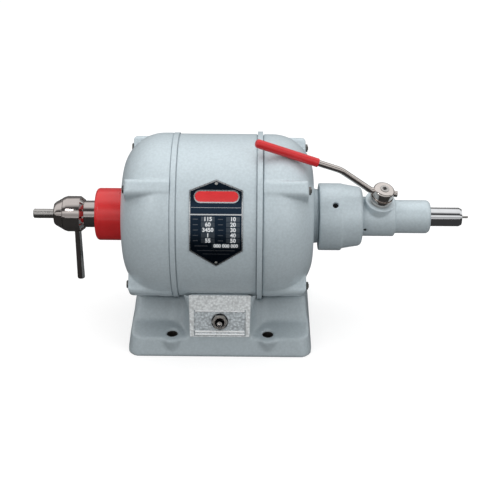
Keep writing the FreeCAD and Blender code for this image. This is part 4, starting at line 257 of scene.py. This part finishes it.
def finished(name, form, material, body, *replaced, crease=0.5):
    """Make a piece of a bmesh, smooth but for its sharp edges, in place of CAD nodes."""
    for face in form.faces:
        face.smooth = True
    for edge in form.edges:
        edge.smooth = len(edge.link_faces) == 2 and edge.calc_face_angle(0.0) < crease
    mesh = bpy.data.meshes.new(name)
    form.to_mesh(mesh)
    form.free()
    mesh.materials.clear()
    mesh.materials.append(material)
    piece = bpy.data.objects.new(name, mesh)
    scene.collection.objects.link(piece)
    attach(piece, body)
    if replaced:
        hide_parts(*replaced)
    return piece


def cast_skin(name, form, grain, passes):
    """Rebuild a solid from voxels of one grain and let its edges run round."""
    mesh = bpy.data.meshes.new(name)
    form.to_mesh(mesh)
    form.free()
    rough = bpy.data.objects.new(name, mesh)
    scene.collection.objects.link(rough)
    skin = rough.modifiers.new("skin", "REMESH")
    skin.mode = "VOXEL"
    skin.voxel_size = grain
    soft = rough.modifiers.new("soft", "SMOOTH")
    soft.factor = 0.5
    soft.iterations = passes
    bpy.context.view_layer.update()
    plain = bpy.data.meshes.new_from_object(rough.evaluated_get(bpy.context.evaluated_depsgraph_get()))
    bpy.data.objects.remove(rough)
    form = bmesh.new()
    form.from_mesh(plain)
    return form


paint_colour = (0.46, 0.53, 0.565)
body_enamel = enamel("hammertone_enamel", paint_colour)
def add_flare(form, side):
    """Widen the console toward the saddle on one side, between its front face and the motor shell."""
    rings = ([], [])
    for along, up in flare_profile:
        front = face_foot - face_slope * up
        behind = max(math.sqrt(max(flare_clear ** 2 - (shaft_height - up) ** 2, 0.0)), front - flare_depth)
        rings[0].append(form.verts.new((side * along, -front, up)))
        rings[1].append(form.verts.new((side * along, -behind, up)))
    count = len(flare_profile)
    for step in range(count):
        after = (step + 1) % count
        form.faces.new((rings[0][step], rings[0][after], rings[1][after], rings[1][step]))
    caps = [form.faces.new(rings[0]), form.faces.new(list(reversed(rings[1])))]
    bmesh.ops.triangulate(form, faces=caps)


shaft_height = 0.122
face_foot = 0.0754
face_slope = 0.26875
flare_clear = 0.0838
flare_depth = 0.012
flare_profile = [(0.0270, 0.0340), (0.0314, 0.0340), (0.0318, 0.0460), (0.0330, 0.0535), (0.0348, 0.0585),
                 (0.0378, 0.0622), (0.0270, 0.0622)]
# The stand's enamel is the motor's paint at 0.77: painted shade for the shadow the motor throws on the stand.
stand_shade_enamel = enamel("stand_shade_enamel", tuple(part * 0.77 for part in paint_colour))
stand_grain = 0.0014
rough_stand = merged("base_casting")
for side in (-1.0, 1.0):
    add_flare(rough_stand, side)
bmesh.ops.recalc_face_normals(rough_stand, faces=rough_stand.faces)
stand = finished("stand_casting", cast_skin("stand_casting", rough_stand, stand_grain, 10),
                 stand_shade_enamel, "frame", "base_casting", crease=3.2)


# Underside and cord inlet
# Thin tubes of dark iron line the drilled bolt holes: bare iron, and painted shade that keeps the holes dark
# inside.
# A zinc-plated sheet closes the stand from below on four screws, and a rubber bush lines the hole at the back
# that the supply cord goes in through.
def plated(name, colour, roughness, streak=(500.0, 500.0, 500.0), marks=0.000004, rounding=0.0003):
    """Bare or plated metal; the streak sets how far its marks run in each direction."""
    metal = bpy.data.materials.new(name)
    made, join = tree_of(metal)
    place = made.new("ShaderNodeTexCoord")
    lie = made.new("ShaderNodeVectorMath")
    lie.operation = "MULTIPLY"
    lie.inputs[1].default_value = streak
    scratch = made.new("ShaderNodeTexNoise")
    scratch.inputs["Scale"].default_value = 1.0
    scratch.inputs["Detail"].default_value = 2.0
    smudge = made.new("ShaderNodeTexNoise")
    smudge.inputs["Scale"].default_value = 90.0
    smudge.inputs["Detail"].default_value = 4.0
    mixed = made.new("ShaderNodeMath")
    mixed.operation = "MULTIPLY_ADD"
    mixed.inputs[1].default_value = 0.6
    haze = made.new("ShaderNodeMapRange")
    haze.inputs["From Max"].default_value = 1.2
    haze.inputs["To Min"].default_value = roughness * 0.7
    haze.inputs["To Max"].default_value = roughness * 1.35
    tone = made.new("ShaderNodeValToRGB")
    tone.color_ramp.elements[0].position = 0.3
    tone.color_ramp.elements[0].color = (*(part * 0.9 for part in colour), 1.0)
    tone.color_ramp.elements[1].position = 0.75
    tone.color_ramp.elements[1].color = (*colour, 1.0)
    edge = made.new("ShaderNodeBevel")
    edge.samples = 4
    edge.inputs["Radius"].default_value = rounding
    bump = made.new("ShaderNodeBump")
    bump.inputs["Strength"].default_value = 0.5
    bump.inputs["Distance"].default_value = marks
    skin = made.new("ShaderNodeBsdfPrincipled")
    skin.inputs["Metallic"].default_value = 1.0
    result = made.new("ShaderNodeOutputMaterial")
    join(place.outputs["Object"], lie.inputs[0])
    join(lie.outputs[0], scratch.inputs["Vector"])
    join(place.outputs["Object"], smudge.inputs["Vector"])
    join(smudge.outputs["Fac"], mixed.inputs[0])
    join(scratch.outputs["Fac"], mixed.inputs[2])
    join(mixed.outputs[0], haze.inputs["Value"])
    join(smudge.outputs["Fac"], tone.inputs["Fac"])
    join(scratch.outputs["Fac"], bump.inputs["Height"])
    join(edge.outputs[0], bump.inputs["Normal"])
    join(tone.outputs["Color"], skin.inputs["Base Color"])
    join(haze.outputs["Result"], skin.inputs["Roughness"])
    join(bump.outputs[0], skin.inputs["Normal"])
    join(skin.outputs[0], result.inputs["Surface"])
    return metal


def moulded(name, colour, roughness, grain=0.0006, depth=0.00001, lacquer=0.0, rounding=0.0005):
    """Rubber, vinyl or phenolic: one colour, slightly uneven, with the fine grain of its mould."""
    mass = bpy.data.materials.new(name)
    made, join = tree_of(mass)
    place = made.new("ShaderNodeTexCoord")
    pores = made.new("ShaderNodeTexNoise")
    pores.inputs["Scale"].default_value = 1.0 / grain
    pores.inputs["Detail"].default_value = 3.0
    clouds = made.new("ShaderNodeTexNoise")
    clouds.inputs["Scale"].default_value = 45.0
    clouds.inputs["Detail"].default_value = 3.0
    tone = made.new("ShaderNodeValToRGB")
    tone.color_ramp.elements[0].position = 0.3
    tone.color_ramp.elements[0].color = (*(part * 0.86 for part in colour), 1.0)
    tone.color_ramp.elements[1].position = 0.7
    tone.color_ramp.elements[1].color = (*(part * 1.06 for part in colour), 1.0)
    haze = made.new("ShaderNodeMapRange")
    haze.inputs["To Min"].default_value = roughness - 0.07
    haze.inputs["To Max"].default_value = roughness + 0.07
    edge = made.new("ShaderNodeBevel")
    edge.samples = 4
    edge.inputs["Radius"].default_value = rounding
    bump = made.new("ShaderNodeBump")
    bump.inputs["Strength"].default_value = 0.6
    bump.inputs["Distance"].default_value = depth
    skin = made.new("ShaderNodeBsdfPrincipled")
    skin.inputs["Coat Weight"].default_value = lacquer
    skin.inputs["Coat Roughness"].default_value = 0.12
    result = made.new("ShaderNodeOutputMaterial")
    join(place.outputs["Object"], pores.inputs["Vector"])
    join(place.outputs["Object"], clouds.inputs["Vector"])
    join(clouds.outputs["Fac"], tone.inputs["Fac"])
    join(clouds.outputs["Fac"], haze.inputs["Value"])
    join(pores.outputs["Fac"], bump.inputs["Height"])
    join(edge.outputs[0], bump.inputs["Normal"])
    join(tone.outputs["Color"], skin.inputs["Base Color"])
    join(haze.outputs["Result"], skin.inputs["Roughness"])
    join(bump.outputs[0], skin.inputs["Normal"])
    join(skin.outputs[0], result.inputs["Surface"])
    return mass


def coat(node, material):
    """Give a CAD node that keeps its own mesh its finish."""
    mesh = nodes[node].data
    mesh.materials.clear()
    mesh.materials.append(material)


def smoothed(name, node, material, body, crease=0.5):
    """Show a CAD node's own shape with smooth round faces and crisp edges."""
    return finished(name, merged(node), material, body, node, crease=crease)


def hole_walls():
    """Thin tubes just inside the four bolt holes, each the same section turned about the hole's axis."""
    form = bmesh.new()
    for across, along in ((-bolt_across, -bolt_along), (-bolt_across, bolt_along),
                          (bolt_across, -bolt_along), (bolt_across, bolt_along)):
        rings = []
        for radius, up in wall_section:
            rings.append([form.verts.new((across + radius * math.cos(math.tau * step / wall_steps),
                                          along + radius * math.sin(math.tau * step / wall_steps), up))
                          for step in range(wall_steps)])
        for ring, after in zip(rings, rings[1:] + rings[:1]):
            for step in range(wall_steps):
                beside = (step + 1) % wall_steps
                form.faces.new((ring[step], ring[beside], after[beside], after[step]))
    bmesh.ops.recalc_face_normals(form, faces=form.faces)
    return form


bolt_across = 0.0485
bolt_along = 0.062
wall_section = [(0.0053, 0.001), (0.0053, 0.0178), (0.0050, 0.0178), (0.0050, 0.001)]
wall_steps = 32
zinc = plated("zinc_plate", (0.50, 0.50, 0.48), 0.36)
black_rubber = moulded("black_rubber", (0.022, 0.022, 0.023), 0.62)
bare_iron_shade = plated("bare_iron_shade", (0.13, 0.12, 0.11), 0.5)
# The tubes' dark iron is partly bare iron and partly painted shade inside the bolt holes.
finished("bolt_hole_walls", hole_walls(), bare_iron_shade, "frame")
coat("bottom_cover", zinc)
coat("bottom_cover_screws", zinc)
coat("saddle_bolts", zinc)
bush = smoothed("inlet_bush", "cord_bush", black_rubber, "frame")


# Toggle switch
# A pressed aluminium plate with a hammered face lies in the console's recess, and a thin sheet of the
# same metal dresses the console's face round it. The switch is held by a washer and a hexagon nut.
def flat_shape(loops, thickness):
    """Flat shape between loops, as a curve object."""
    curve = bpy.data.curves.new("flat", "CURVE")
    curve.dimensions = "2D"
    curve.fill_mode = "BOTH"
    curve.extrude = thickness / 2.0
    for loop in loops:
        spline = curve.splines.new("POLY")
        spline.points.add(len(loop) - 1)
        for point, (along, up) in zip(spline.points, loop):
            point.co = (along, up, 0.0, 1.0)
        spline.use_cyclic_u = True
    return bpy.data.objects.new("flat", curve)


def box_outline(left, right, low, high):
    return [(left, low), (right, low), (right, high), (left, high)]


def console_sheet(name, loops, thickness, material):
    """Lay a flat shape, drawn by length and by height above the table, on the console's face."""
    flat = flat_shape(loops, thickness)
    form = bmesh.new()
    form.from_mesh(bpy.data.meshes.new_from_object(flat))
    bpy.data.objects.remove(flat)
    for corner in form.verts:
        along, up, lift = corner.co
        corner.co = (along, -face_foot + face_slope * up - (lift + thickness / 2.0), up)
    bmesh.ops.recalc_face_normals(form, faces=form.faces)
    return finished(name, form, material, "frame")


def finish_where(piece, chosen, material):
    """Give a second finish to the faces of a piece that a test picks."""
    piece.data.materials.append(material)
    for face in piece.data.polygons:
        if chosen(face):
            face.material_index = len(piece.data.materials) - 1


def above_console(point):
    """Distance of a point in front of the console's leaning face."""
    return (-point.y - face_foot + face_slope * point.z) / math.hypot(1.0, face_slope)


def from_toggle(point):
    """Distance of a point from the toggle's axis."""
    start = Vector((0.0, -face_foot + face_slope * toggle_height, toggle_height))
    return (point - start).cross(console_normal).length


toggle_height = 0.035
console_normal = Vector((0.0, -1.0, face_slope)).normalized()
face_sheet = 0.0003
plate_sink = 0.00045
neck_bore = 0.0047
hammered_plate = enamel("hammered_plate", (0.80, 0.87, 0.91), cell=0.0024, depth=0.00028,
                        rounding=0.0003, gloss=0.30, metal=0.55, mottle=0.45)
hammered_face = enamel("hammered_face", (0.95, 0.99, 1.0), cell=0.0024, depth=0.00028,
                       rounding=0.0003, gloss=0.30, metal=0.35, mottle=0.35)
black_steel = plated("black_steel", (0.055, 0.055, 0.06), 0.32)
nickel = plated("bright_nickel", (0.66, 0.61, 0.58), 0.11)
phenolic = moulded("black_phenolic", (0.018, 0.018, 0.02), 0.42, lacquer=0.2)
bare_brass = plated("bare_brass", (0.62, 0.45, 0.18), 0.30)
bright_bead = enamel("bright_bead", (0.93, 0.95, 0.96), depth=0.000005, rounding=0.0002, gloss=0.26, metal=0.3)
pressed_plate = smoothed("hammered_switch_plate", "switch_plate", hammered_plate, "frame")
finish_where(pressed_plate, lambda face: above_console(face.center) > -plate_sink, bright_bead)
face_margin = 0.0008
face_half_low = 0.0300
face_half_high = 0.0310
face_top = 0.0614
recess_half = 0.026
recess_low = 0.0205
recess_high = 0.0468
dressed_face = console_sheet("console_face_sheet", [
    [(-face_half_low, recess_low - face_margin), (face_half_low, recess_low - face_margin),
     (face_half_high, face_top), (-face_half_high, face_top)],
    box_outline(-recess_half, recess_half, recess_low, recess_high)], face_sheet, hammered_face)
smoothed("toggle_washer", "switch_washer", black_steel, "frame")
hexagon_nut = smoothed("toggle_nut", "switch_nut", zinc, "frame")
# All faces of the nut but its outward one are black steel as painted shade; only the outward face keeps the
# zinc.
finish_where(hexagon_nut, lambda face: face.normal.dot(console_normal) < 0.5, black_steel)
switch = smoothed("toggle_housing", "switch_body", phenolic, "frame")
finish_where(switch, lambda face: above_console(face.center) > 0.0 and from_toggle(face.center) > neck_bore,
             nickel)
smoothed("toggle_bat", "switch_toggle", nickel, "toggle")
coat("switch_terminals", bare_brass)


# Motor shell and end bells
# A rolled steel shell between two cast bells. Each bell has a shallow groove beside the shell, a raised
# rim, and four lugs for the through bolts, which run softly into the dome.
def split_at(form, along, keep):
    """Cut a shape across the shaft, keep one side ("left" or "right") and close the cut."""
    cut = bmesh.ops.bisect_plane(
        form, geom=form.verts[:] + form.edges[:] + form.faces[:], dist=1e-7,
        plane_co=(along, 0.0, 0.0), plane_no=(1.0, 0.0, 0.0),
        clear_outer=keep == "left", clear_inner=keep == "right")
    rim = [item for item in cut["geom_cut"] if isinstance(item, bmesh.types.BMEdge)]
    bmesh.ops.triangle_fill(form, use_beauty=True, use_dissolve=False, edges=rim)
    bmesh.ops.recalc_face_normals(form, faces=form.faces)
    return form


shell_low, shell_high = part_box("motor_shell")
rim_width = 0.006
bell_grain = 0.0011
smooth_shell = smoothed("rolled_shell", "motor_shell", body_enamel, "frame")
for side, joint, outward in (("left", shell_low.x, -1.0), ("right", shell_high.x, 1.0)):
    node = side + "_end_bell"
    seam = joint + outward * rim_width
    other = "right" if side == "left" else "left"
    rim = finished(side + "_bell_rim", split_at(merged(node), seam, other), body_enamel, "frame", node)
    dome = finished(side + "_bell_dome", cast_skin(node, split_at(merged(node), seam, side), bell_grain, 9),
                    body_enamel, "frame", node, crease=3.2)


# Through bolts
# Four long bolts draw the bells together: hexagon heads on the left, nuts and bolt ends on the right.
def hexagon(name, across_flats, height, shank_radius=0.0, shank_length=0.0, bevel=0.14):
    """A hexagon from z = 0 up, with a turned chamfer on its outer face, and for a bolt its shank below."""
    corner = across_flats / math.sqrt(3.0)
    form = bmesh.new()
    rings = [(0.0, 1.0), (height * (1.0 - bevel), 1.0), (height, 1.0 - bevel)]
    loops = []
    for level, share in rings:
        loops.append([form.verts.new((corner * share * math.cos(math.pi * side / 3.0),
                                      corner * share * math.sin(math.pi * side / 3.0), level))
                      for side in range(6)])
    for lower, upper in zip(loops, loops[1:]):
        for side in range(6):
            after = (side + 1) % 6
            form.faces.new((lower[side], lower[after], upper[after], upper[side]))
    form.faces.new(loops[-1])
    form.faces.new(list(reversed(loops[0])))
    if shank_length:
        bmesh.ops.create_cone(form, cap_ends=True, segments=24, radius1=shank_radius, radius2=shank_radius,
                              depth=shank_length, matrix=Matrix.Translation((0.0, 0.0, -shank_length / 2.0)))
    mesh = bpy.data.meshes.new(name)
    form.to_mesh(mesh)
    form.free()
    return bpy.data.objects.new(name, mesh)


def bolt_circle_tree():
    """Geometry nodes: copies of one bolt evenly round the shaft, each pointing along it."""
    tree = bpy.data.node_groups.new("bolt_circle", "GeometryNodeTree")
    shape = tree.interface.new_socket("Geometry", in_out="OUTPUT", socket_type="NodeSocketGeometry")
    given = [("Bolt", "NodeSocketObject"), ("Count", "NodeSocketInt"), ("Circle radius", "NodeSocketFloat"),
             ("First angle", "NodeSocketFloat"), ("Station", "NodeSocketFloat"),
             ("Shaft height", "NodeSocketFloat"), ("Facing", "NodeSocketFloat"),
             ("Finish", "NodeSocketMaterial")]
    tree.interface.new_socket("Geometry", in_out="INPUT", socket_type="NodeSocketGeometry")
    for title, kind in given:
        tree.interface.new_socket(title, in_out="INPUT", socket_type=kind)
    made = tree.nodes
    join = tree.links.new
    source = made.new("NodeGroupInput")
    sink = made.new("NodeGroupOutput")
    ring = made.new("GeometryNodeMeshCircle")
    bolt = made.new("GeometryNodeObjectInfo")
    bolt.inputs["As Instance"].default_value = True
    spread = made.new("GeometryNodeInstanceOnPoints")
    turn = made.new("GeometryNodeTransform")
    first = made.new("ShaderNodeCombineXYZ")
    lay = made.new("GeometryNodeTransform")
    facing = made.new("ShaderNodeCombineXYZ")
    place = made.new("ShaderNodeCombineXYZ")
    real = made.new("GeometryNodeRealizeInstances")
    finish = made.new("GeometryNodeSetMaterial")
    join(source.outputs["Count"], ring.inputs["Vertices"])
    join(source.outputs["Circle radius"], ring.inputs["Radius"])
    join(source.outputs["Bolt"], bolt.inputs["Object"])
    join(ring.outputs["Mesh"], spread.inputs["Points"])
    join(bolt.outputs["Geometry"], spread.inputs["Instance"])
    join(source.outputs["First angle"], first.inputs["Z"])
    join(spread.outputs["Instances"], turn.inputs["Geometry"])
    join(first.outputs[0], turn.inputs["Rotation"])
    join(source.outputs["Facing"], facing.inputs["Y"])
    join(source.outputs["Station"], place.inputs["X"])
    join(source.outputs["Shaft height"], place.inputs["Z"])
    join(turn.outputs["Geometry"], lay.inputs["Geometry"])
    join(facing.outputs[0], lay.inputs["Rotation"])
    join(place.outputs[0], lay.inputs["Translation"])
    join(lay.outputs["Geometry"], real.inputs["Geometry"])
    join(real.outputs["Geometry"], finish.inputs["Geometry"])
    join(source.outputs["Finish"], finish.inputs["Material"])
    join(finish.outputs["Geometry"], sink.inputs[shape.name])
    return tree


def grown(name, tree, settings, body, *replaced):
    """Run a geometry tree on an empty mesh and keep the result as a plain piece."""
    seed = bpy.data.objects.new(name, bpy.data.meshes.new(name))
    scene.collection.objects.link(seed)
    modifier = seed.modifiers.new("grow", "NODES")
    modifier.node_group = tree
    for socket in tree.interface.items_tree:
        if socket.item_type == "SOCKET" and socket.in_out == "INPUT" and socket.name in settings:
            modifier[socket.identifier] = settings[socket.name]
    bpy.context.view_layer.update()
    mesh = bpy.data.meshes.new_from_object(seed.evaluated_get(bpy.context.evaluated_depsgraph_get()))
    mesh.name = name
    bpy.data.objects.remove(seed)
    piece = bpy.data.objects.new(name, mesh)
    scene.collection.objects.link(piece)
    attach(piece, body)
    if replaced:
        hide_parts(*replaced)
    return piece


bolts_low, bolts_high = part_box("through_bolts")
nuts_low, nuts_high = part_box("through_bolt_nuts")
bolt_flats = 0.007
bolt_head = 0.002
bolt_radius = 0.002
bolt_circle = 0.074
bolt_ring = bolt_circle_tree()
bolt = hexagon("bolt", bolt_flats, bolt_head, bolt_radius, bolts_high.x - bolts_low.x - bolt_head)
nut = hexagon("nut", bolt_flats, nuts_high.x - nuts_low.x)
bolt_steel = plated("bolt_steel", (0.20, 0.20, 0.19), 0.34)
circle = {"Count": 4, "Circle radius": bolt_circle, "First angle": math.radians(45.0),
          "Shaft height": shaft_height, "Finish": bolt_steel}
bolts = grown("long_through_bolts", bolt_ring,
              {**circle, "Bolt": bolt, "Station": bolts_low.x + bolt_head, "Facing": math.radians(-90.0)},
              "frame", "through_bolts")
nuts = grown("through_bolt_hexagons", bolt_ring,
             {**circle, "Bolt": nut, "Station": nuts_low.x, "Facing": math.radians(90.0)}, "frame",
             "through_bolt_nuts")
for pattern in (bolt, nut):
    bpy.data.objects.remove(pattern)


# Nameplate
# A printed and anodised plate, bent round the shell and held by two rivets. A bright border and rule,
# a red panel with a white edge, and rows of cells that hold plain numbers stand a hair above its face.
plate_radius = 0.08345
plate_turn = math.radians(70.0)
plate_middle = (shell_low.x + shell_high.x) / 2.0
plate_outline = [(0.0, 0.0419), (0.0255, 0.032), (0.0255, -0.0259), (0.0, -0.0419),
                 (-0.0255, -0.0259), (-0.0255, 0.032)]
print_height = 0.00006


def inset(outline, by):
    """Move the corners of an outline toward its middle by about one distance."""
    return [(along * (1.0 - by / 0.0255), up * (1.0 - by / 0.032)) for along, up in outline]


def lozenge(left, right, low, high):
    """Outline of a panel with round ends."""
    radius = (high - low) / 2.0
    ends = []
    for middle, first in ((right - radius, -90.0), (left + radius, 90.0)):
        for step in range(9):
            angle = math.radians(first + 22.5 * step)
            ends.append((middle + radius * math.cos(angle), (low + high) / 2.0 + radius * math.sin(angle)))
    return ends


def number_shape(number, along, up, size, thickness):
    """A plain number, middle at (along, up), as a text object."""
    curve = bpy.data.curves.new("number", "FONT")
    curve.body = number
    curve.size = size
    curve.align_x = "CENTER"
    curve.align_y = "CENTER"
    curve.extrude = thickness / 2.0
    curve.offset = size * 0.03
    curve.resolution_u = 3
    text = bpy.data.objects.new("number", curve)
    text.location = (along, up, 0.0)
    return text


def bent_round_shell(name, flats, middle_height, material):
    """Wrap flat shapes round the motor at the nameplate's place, above the plate's face."""
    form = bmesh.new()
    for flat in flats:
        mesh = bpy.data.meshes.new_from_object(flat)
        mesh.transform(Matrix.Translation(flat.location))
        form.from_mesh(mesh)
        bpy.data.objects.remove(flat)
    step = 0.002
    for count in range(-21, 22):
        geometry = form.verts[:] + form.edges[:] + form.faces[:]
        bmesh.ops.bisect_plane(form, geom=geometry, dist=1e-7, plane_co=(0.0, count * step, 0.0),
                               plane_no=(0.0, 1.0, 0.0))
    for corner in form.verts:
        along, up, lift = corner.co
        radius = plate_radius + middle_height + lift
        out = math.sqrt(radius * radius - up * up)
        corner.co = (plate_middle + along,
                     up * math.cos(plate_turn) - out * math.sin(plate_turn),
                     shaft_height + up * math.sin(plate_turn) + out * math.cos(plate_turn))
    bmesh.ops.recalc_face_normals(form, faces=form.faces)
    return finished(name, form, material, "frame")


anodised_navy = plated("anodised_navy", (0.020, 0.036, 0.060), 0.26, rounding=0.0002)
plate_silver = plated("plate_silver", (0.72, 0.74, 0.76), 0.24, rounding=0.0001)
plate_red = moulded("plate_red", (0.62, 0.022, 0.026), 0.32, lacquer=0.4, rounding=0.0001)
cell_grey = plated("cell_grey", (0.11, 0.135, 0.165), 0.34, rounding=0.0001)
label_grey = plated("label_grey", (0.16, 0.18, 0.21), 0.38, rounding=0.0001)
number_white = moulded("number_white", (0.80, 0.83, 0.85), 0.40, rounding=0.0001)
smoothed("nameplate_sheet", "nameplate", anodised_navy, "frame")
smoothed("nameplate_rivet_heads", "nameplate_rivets", zinc, "frame")
border = bent_round_shell("nameplate_border", [
    flat_shape([inset(plate_outline, 0.0001), inset(plate_outline, 0.0010)], print_height),
    flat_shape([box_outline(-0.0250, 0.0250, 0.0088, 0.0100)], print_height * 2.0),
    flat_shape([box_outline(-0.0235, 0.0235, 0.0158, 0.0161)], print_height),
    flat_shape([lozenge(-0.0214, 0.0224, 0.0202, 0.0324), lozenge(-0.0202, 0.0212, 0.0214, 0.0312)],
               print_height),
], print_height, plate_silver)
panel = bent_round_shell("nameplate_panel", [
    flat_shape([lozenge(-0.0202, 0.0212, 0.0214, 0.0312)], print_height)], print_height, plate_red)
row_height = 0.0052
first_row = 0.0050
cell_half = 0.0023
label_half = 0.0004
number_size = 0.0054
serial_size = 0.0046
cells = []
labels = []
numbers = []
left_numbers = ("115", "60", "3450", "1", "55")
right_numbers = ("10", "20", "30", "40", "50")
for row, (left_number, right_number) in enumerate(zip(left_numbers, right_numbers)):
    up = first_row - row * row_height
    for left, right, number in ((-0.0142, -0.0012, left_number), (0.0098, 0.0228, right_number)):
        cells.append(flat_shape([box_outline(left, right, up - cell_half, up + cell_half)], print_height))
        labels.append(flat_shape([box_outline(left - 0.0078, left - 0.0030, up - label_half,
                                              up + label_half)], print_height))
        numbers.append(number_shape(number, (left + right) / 2.0, up, number_size, print_height))
last_row = first_row - 5 * row_height
cells.append(flat_shape([box_outline(-0.0040, 0.0228, last_row - cell_half, last_row + cell_half)],
                        print_height))
labels.append(flat_shape([box_outline(-0.0205, -0.0080, last_row - label_half, last_row + label_half)],
                         print_height))
labels.append(flat_shape([box_outline(-0.0180, 0.0180, last_row - 0.0050, last_row - 0.0043)], print_height))
labels.append(flat_shape([box_outline(-0.0130, 0.0130, last_row - 0.0083, last_row - 0.0078)], print_height))
numbers.append(number_shape("000 000 000", 0.0094, last_row, serial_size, print_height))
cell_sheets = bent_round_shell("nameplate_cells", cells, print_height * 0.5, cell_grey)
label_bars = bent_round_shell("nameplate_labels", labels, print_height * 0.5, label_grey)
number_prints = bent_round_shell("nameplate_numbers", numbers, print_height * 1.5, number_white)


# Guard collar
# A smooth red enamelled collar pushed over the left bell's spigot and held by one grub screw.
red_enamel = moulded("red_enamel", (0.62, 0.016, 0.018), 0.30, grain=0.0025, lacquer=0.3, rounding=0.0008)
collar = smoothed("red_guard_collar", "guard_collar", red_enamel, "frame", crease=0.35)
coat("guard_collar_screw", black_steel)


# Chuck, mandrel and tommy pin
# A nickel-plated keyed chuck: body, sleeve with teeth, three leaning jaws, a plain mandrel in its mouth
# and the pin that turns the sleeve.
dark_nickel = plated("dark_nickel", (0.52, 0.475, 0.455), 0.10, rounding=0.0004)
turned_steel = plated("turned_steel", (0.50, 0.485, 0.47), 0.24, streak=(9000.0, 300.0, 300.0),
                      marks=0.000003)
for name, node, body in (("chuck_nose", "chuck_body", "rotor"), ("toothed_sleeve", "chuck_sleeve", "sleeve"),
                         ("turning_pin", "tommy_pin", "pin")):
    smoothed(name, node, dark_nickel, body, crease=0.42)
smoothed("plain_mandrel", "mandrel", turned_steel, "arbor")
for index in (1, 2, 3):
    coat(f"chuck_jaw_{index}", turned_steel)


# Adaptor and nose housings
# Two castings in the same enamel, pushed into one another and clamped by black grub screws.
housing_grain = 0.0008
for name, node in (("adaptor_casting", "adaptor_housing"), ("nose_casting", "nose_housing")):
    casting = finished(name, cast_skin(name, merged(node), housing_grain, 6), body_enamel, "frame", node,
                       crease=3.2)
coat("adaptor_screws", black_steel)
coat("nose_screws", black_steel)


# Spindle, collet and bur
# A chromed nose that turns in front of the housing, with the split collet and a thin bur shank in it.
# Behind it lie the drawbar, its spring discs and the ring and sleeve that open it.
chrome = plated("polished_chrome", (0.74, 0.75, 0.77), 0.05, streak=(6000.0, 200.0, 200.0), marks=0.000002)
smoothed("chromed_nose", "spindle_nose", chrome, "rotor")
smoothed("thin_bur_shank", "bur_shank", turned_steel, "bur")
for node in ("spindle", "disc_springs", "drawbar", "drawbar_nut", "collet", "release_ring", "release_pin",
             "thrust_sleeve"):
    coat(node, turned_steel)


# Release lever
# A nickel-plated post with a clamped steel rod, bent twice, and a grip of dipped red vinyl.
red_vinyl = moulded("red_vinyl", (0.56, 0.014, 0.018), 0.30, grain=0.0012, lacquer=0.3)
for name, node in (("nickel_post", "lever_post"), ("bent_rod", "lever_rod")):
    smoothed(name, node, nickel, "lever")
smoothed("vinyl_grip", "lever_grip", red_vinyl, "lever")
screw = smoothed("rod_clamp_screw", "lever_set_screw", turned_steel, "lever")
# The middle of the clamp screw's head is black steel: painted shade standing for the hollow of its socket.
socket_shade_reach = 0.0017
facing = max(screw.data.polygons, key=lambda face: face.normal.z).normal.copy()
middle = sum((Vector(corner) for corner in screw.bound_box), Vector()) / 8.0
finish_where(screw, lambda face: (face.center - middle).cross(facing).length < socket_shade_reach, black_steel)


# Inside the motor
# Varnished laminations, enamelled copper, a cast aluminium cage, the shaft on its bearings and the
# start switch with its governor.
lamination = plated("varnished_laminations", (0.20, 0.18, 0.16), 0.40, streak=(2200.0, 20.0, 20.0),
                    marks=0.00002)
copper = plated("enamelled_copper", (0.62, 0.25, 0.10), 0.30, streak=(30.0, 1300.0, 1300.0), marks=0.00003)
cast_aluminium = plated("cast_aluminium", (0.60, 0.61, 0.62), 0.45, streak=(1400.0, 1400.0, 1400.0),
                        marks=0.00002)
for node in ("stator_core", "rotor_core"):
    coat(node, lamination)
coat("stator_winding", copper)
coat("rotor_cage", cast_aluminium)
for node in ("motor_shaft", "bearing_outer_rings", "bearing_inner_rings", "left_ball_cage", "right_ball_cage",
             "nose_ball_cage", "bearing_spring_washer"):
    coat(node, turned_steel)
coat("start_switch_plate", phenolic)
coat("switch_collar", phenolic)
coat("governor", zinc)
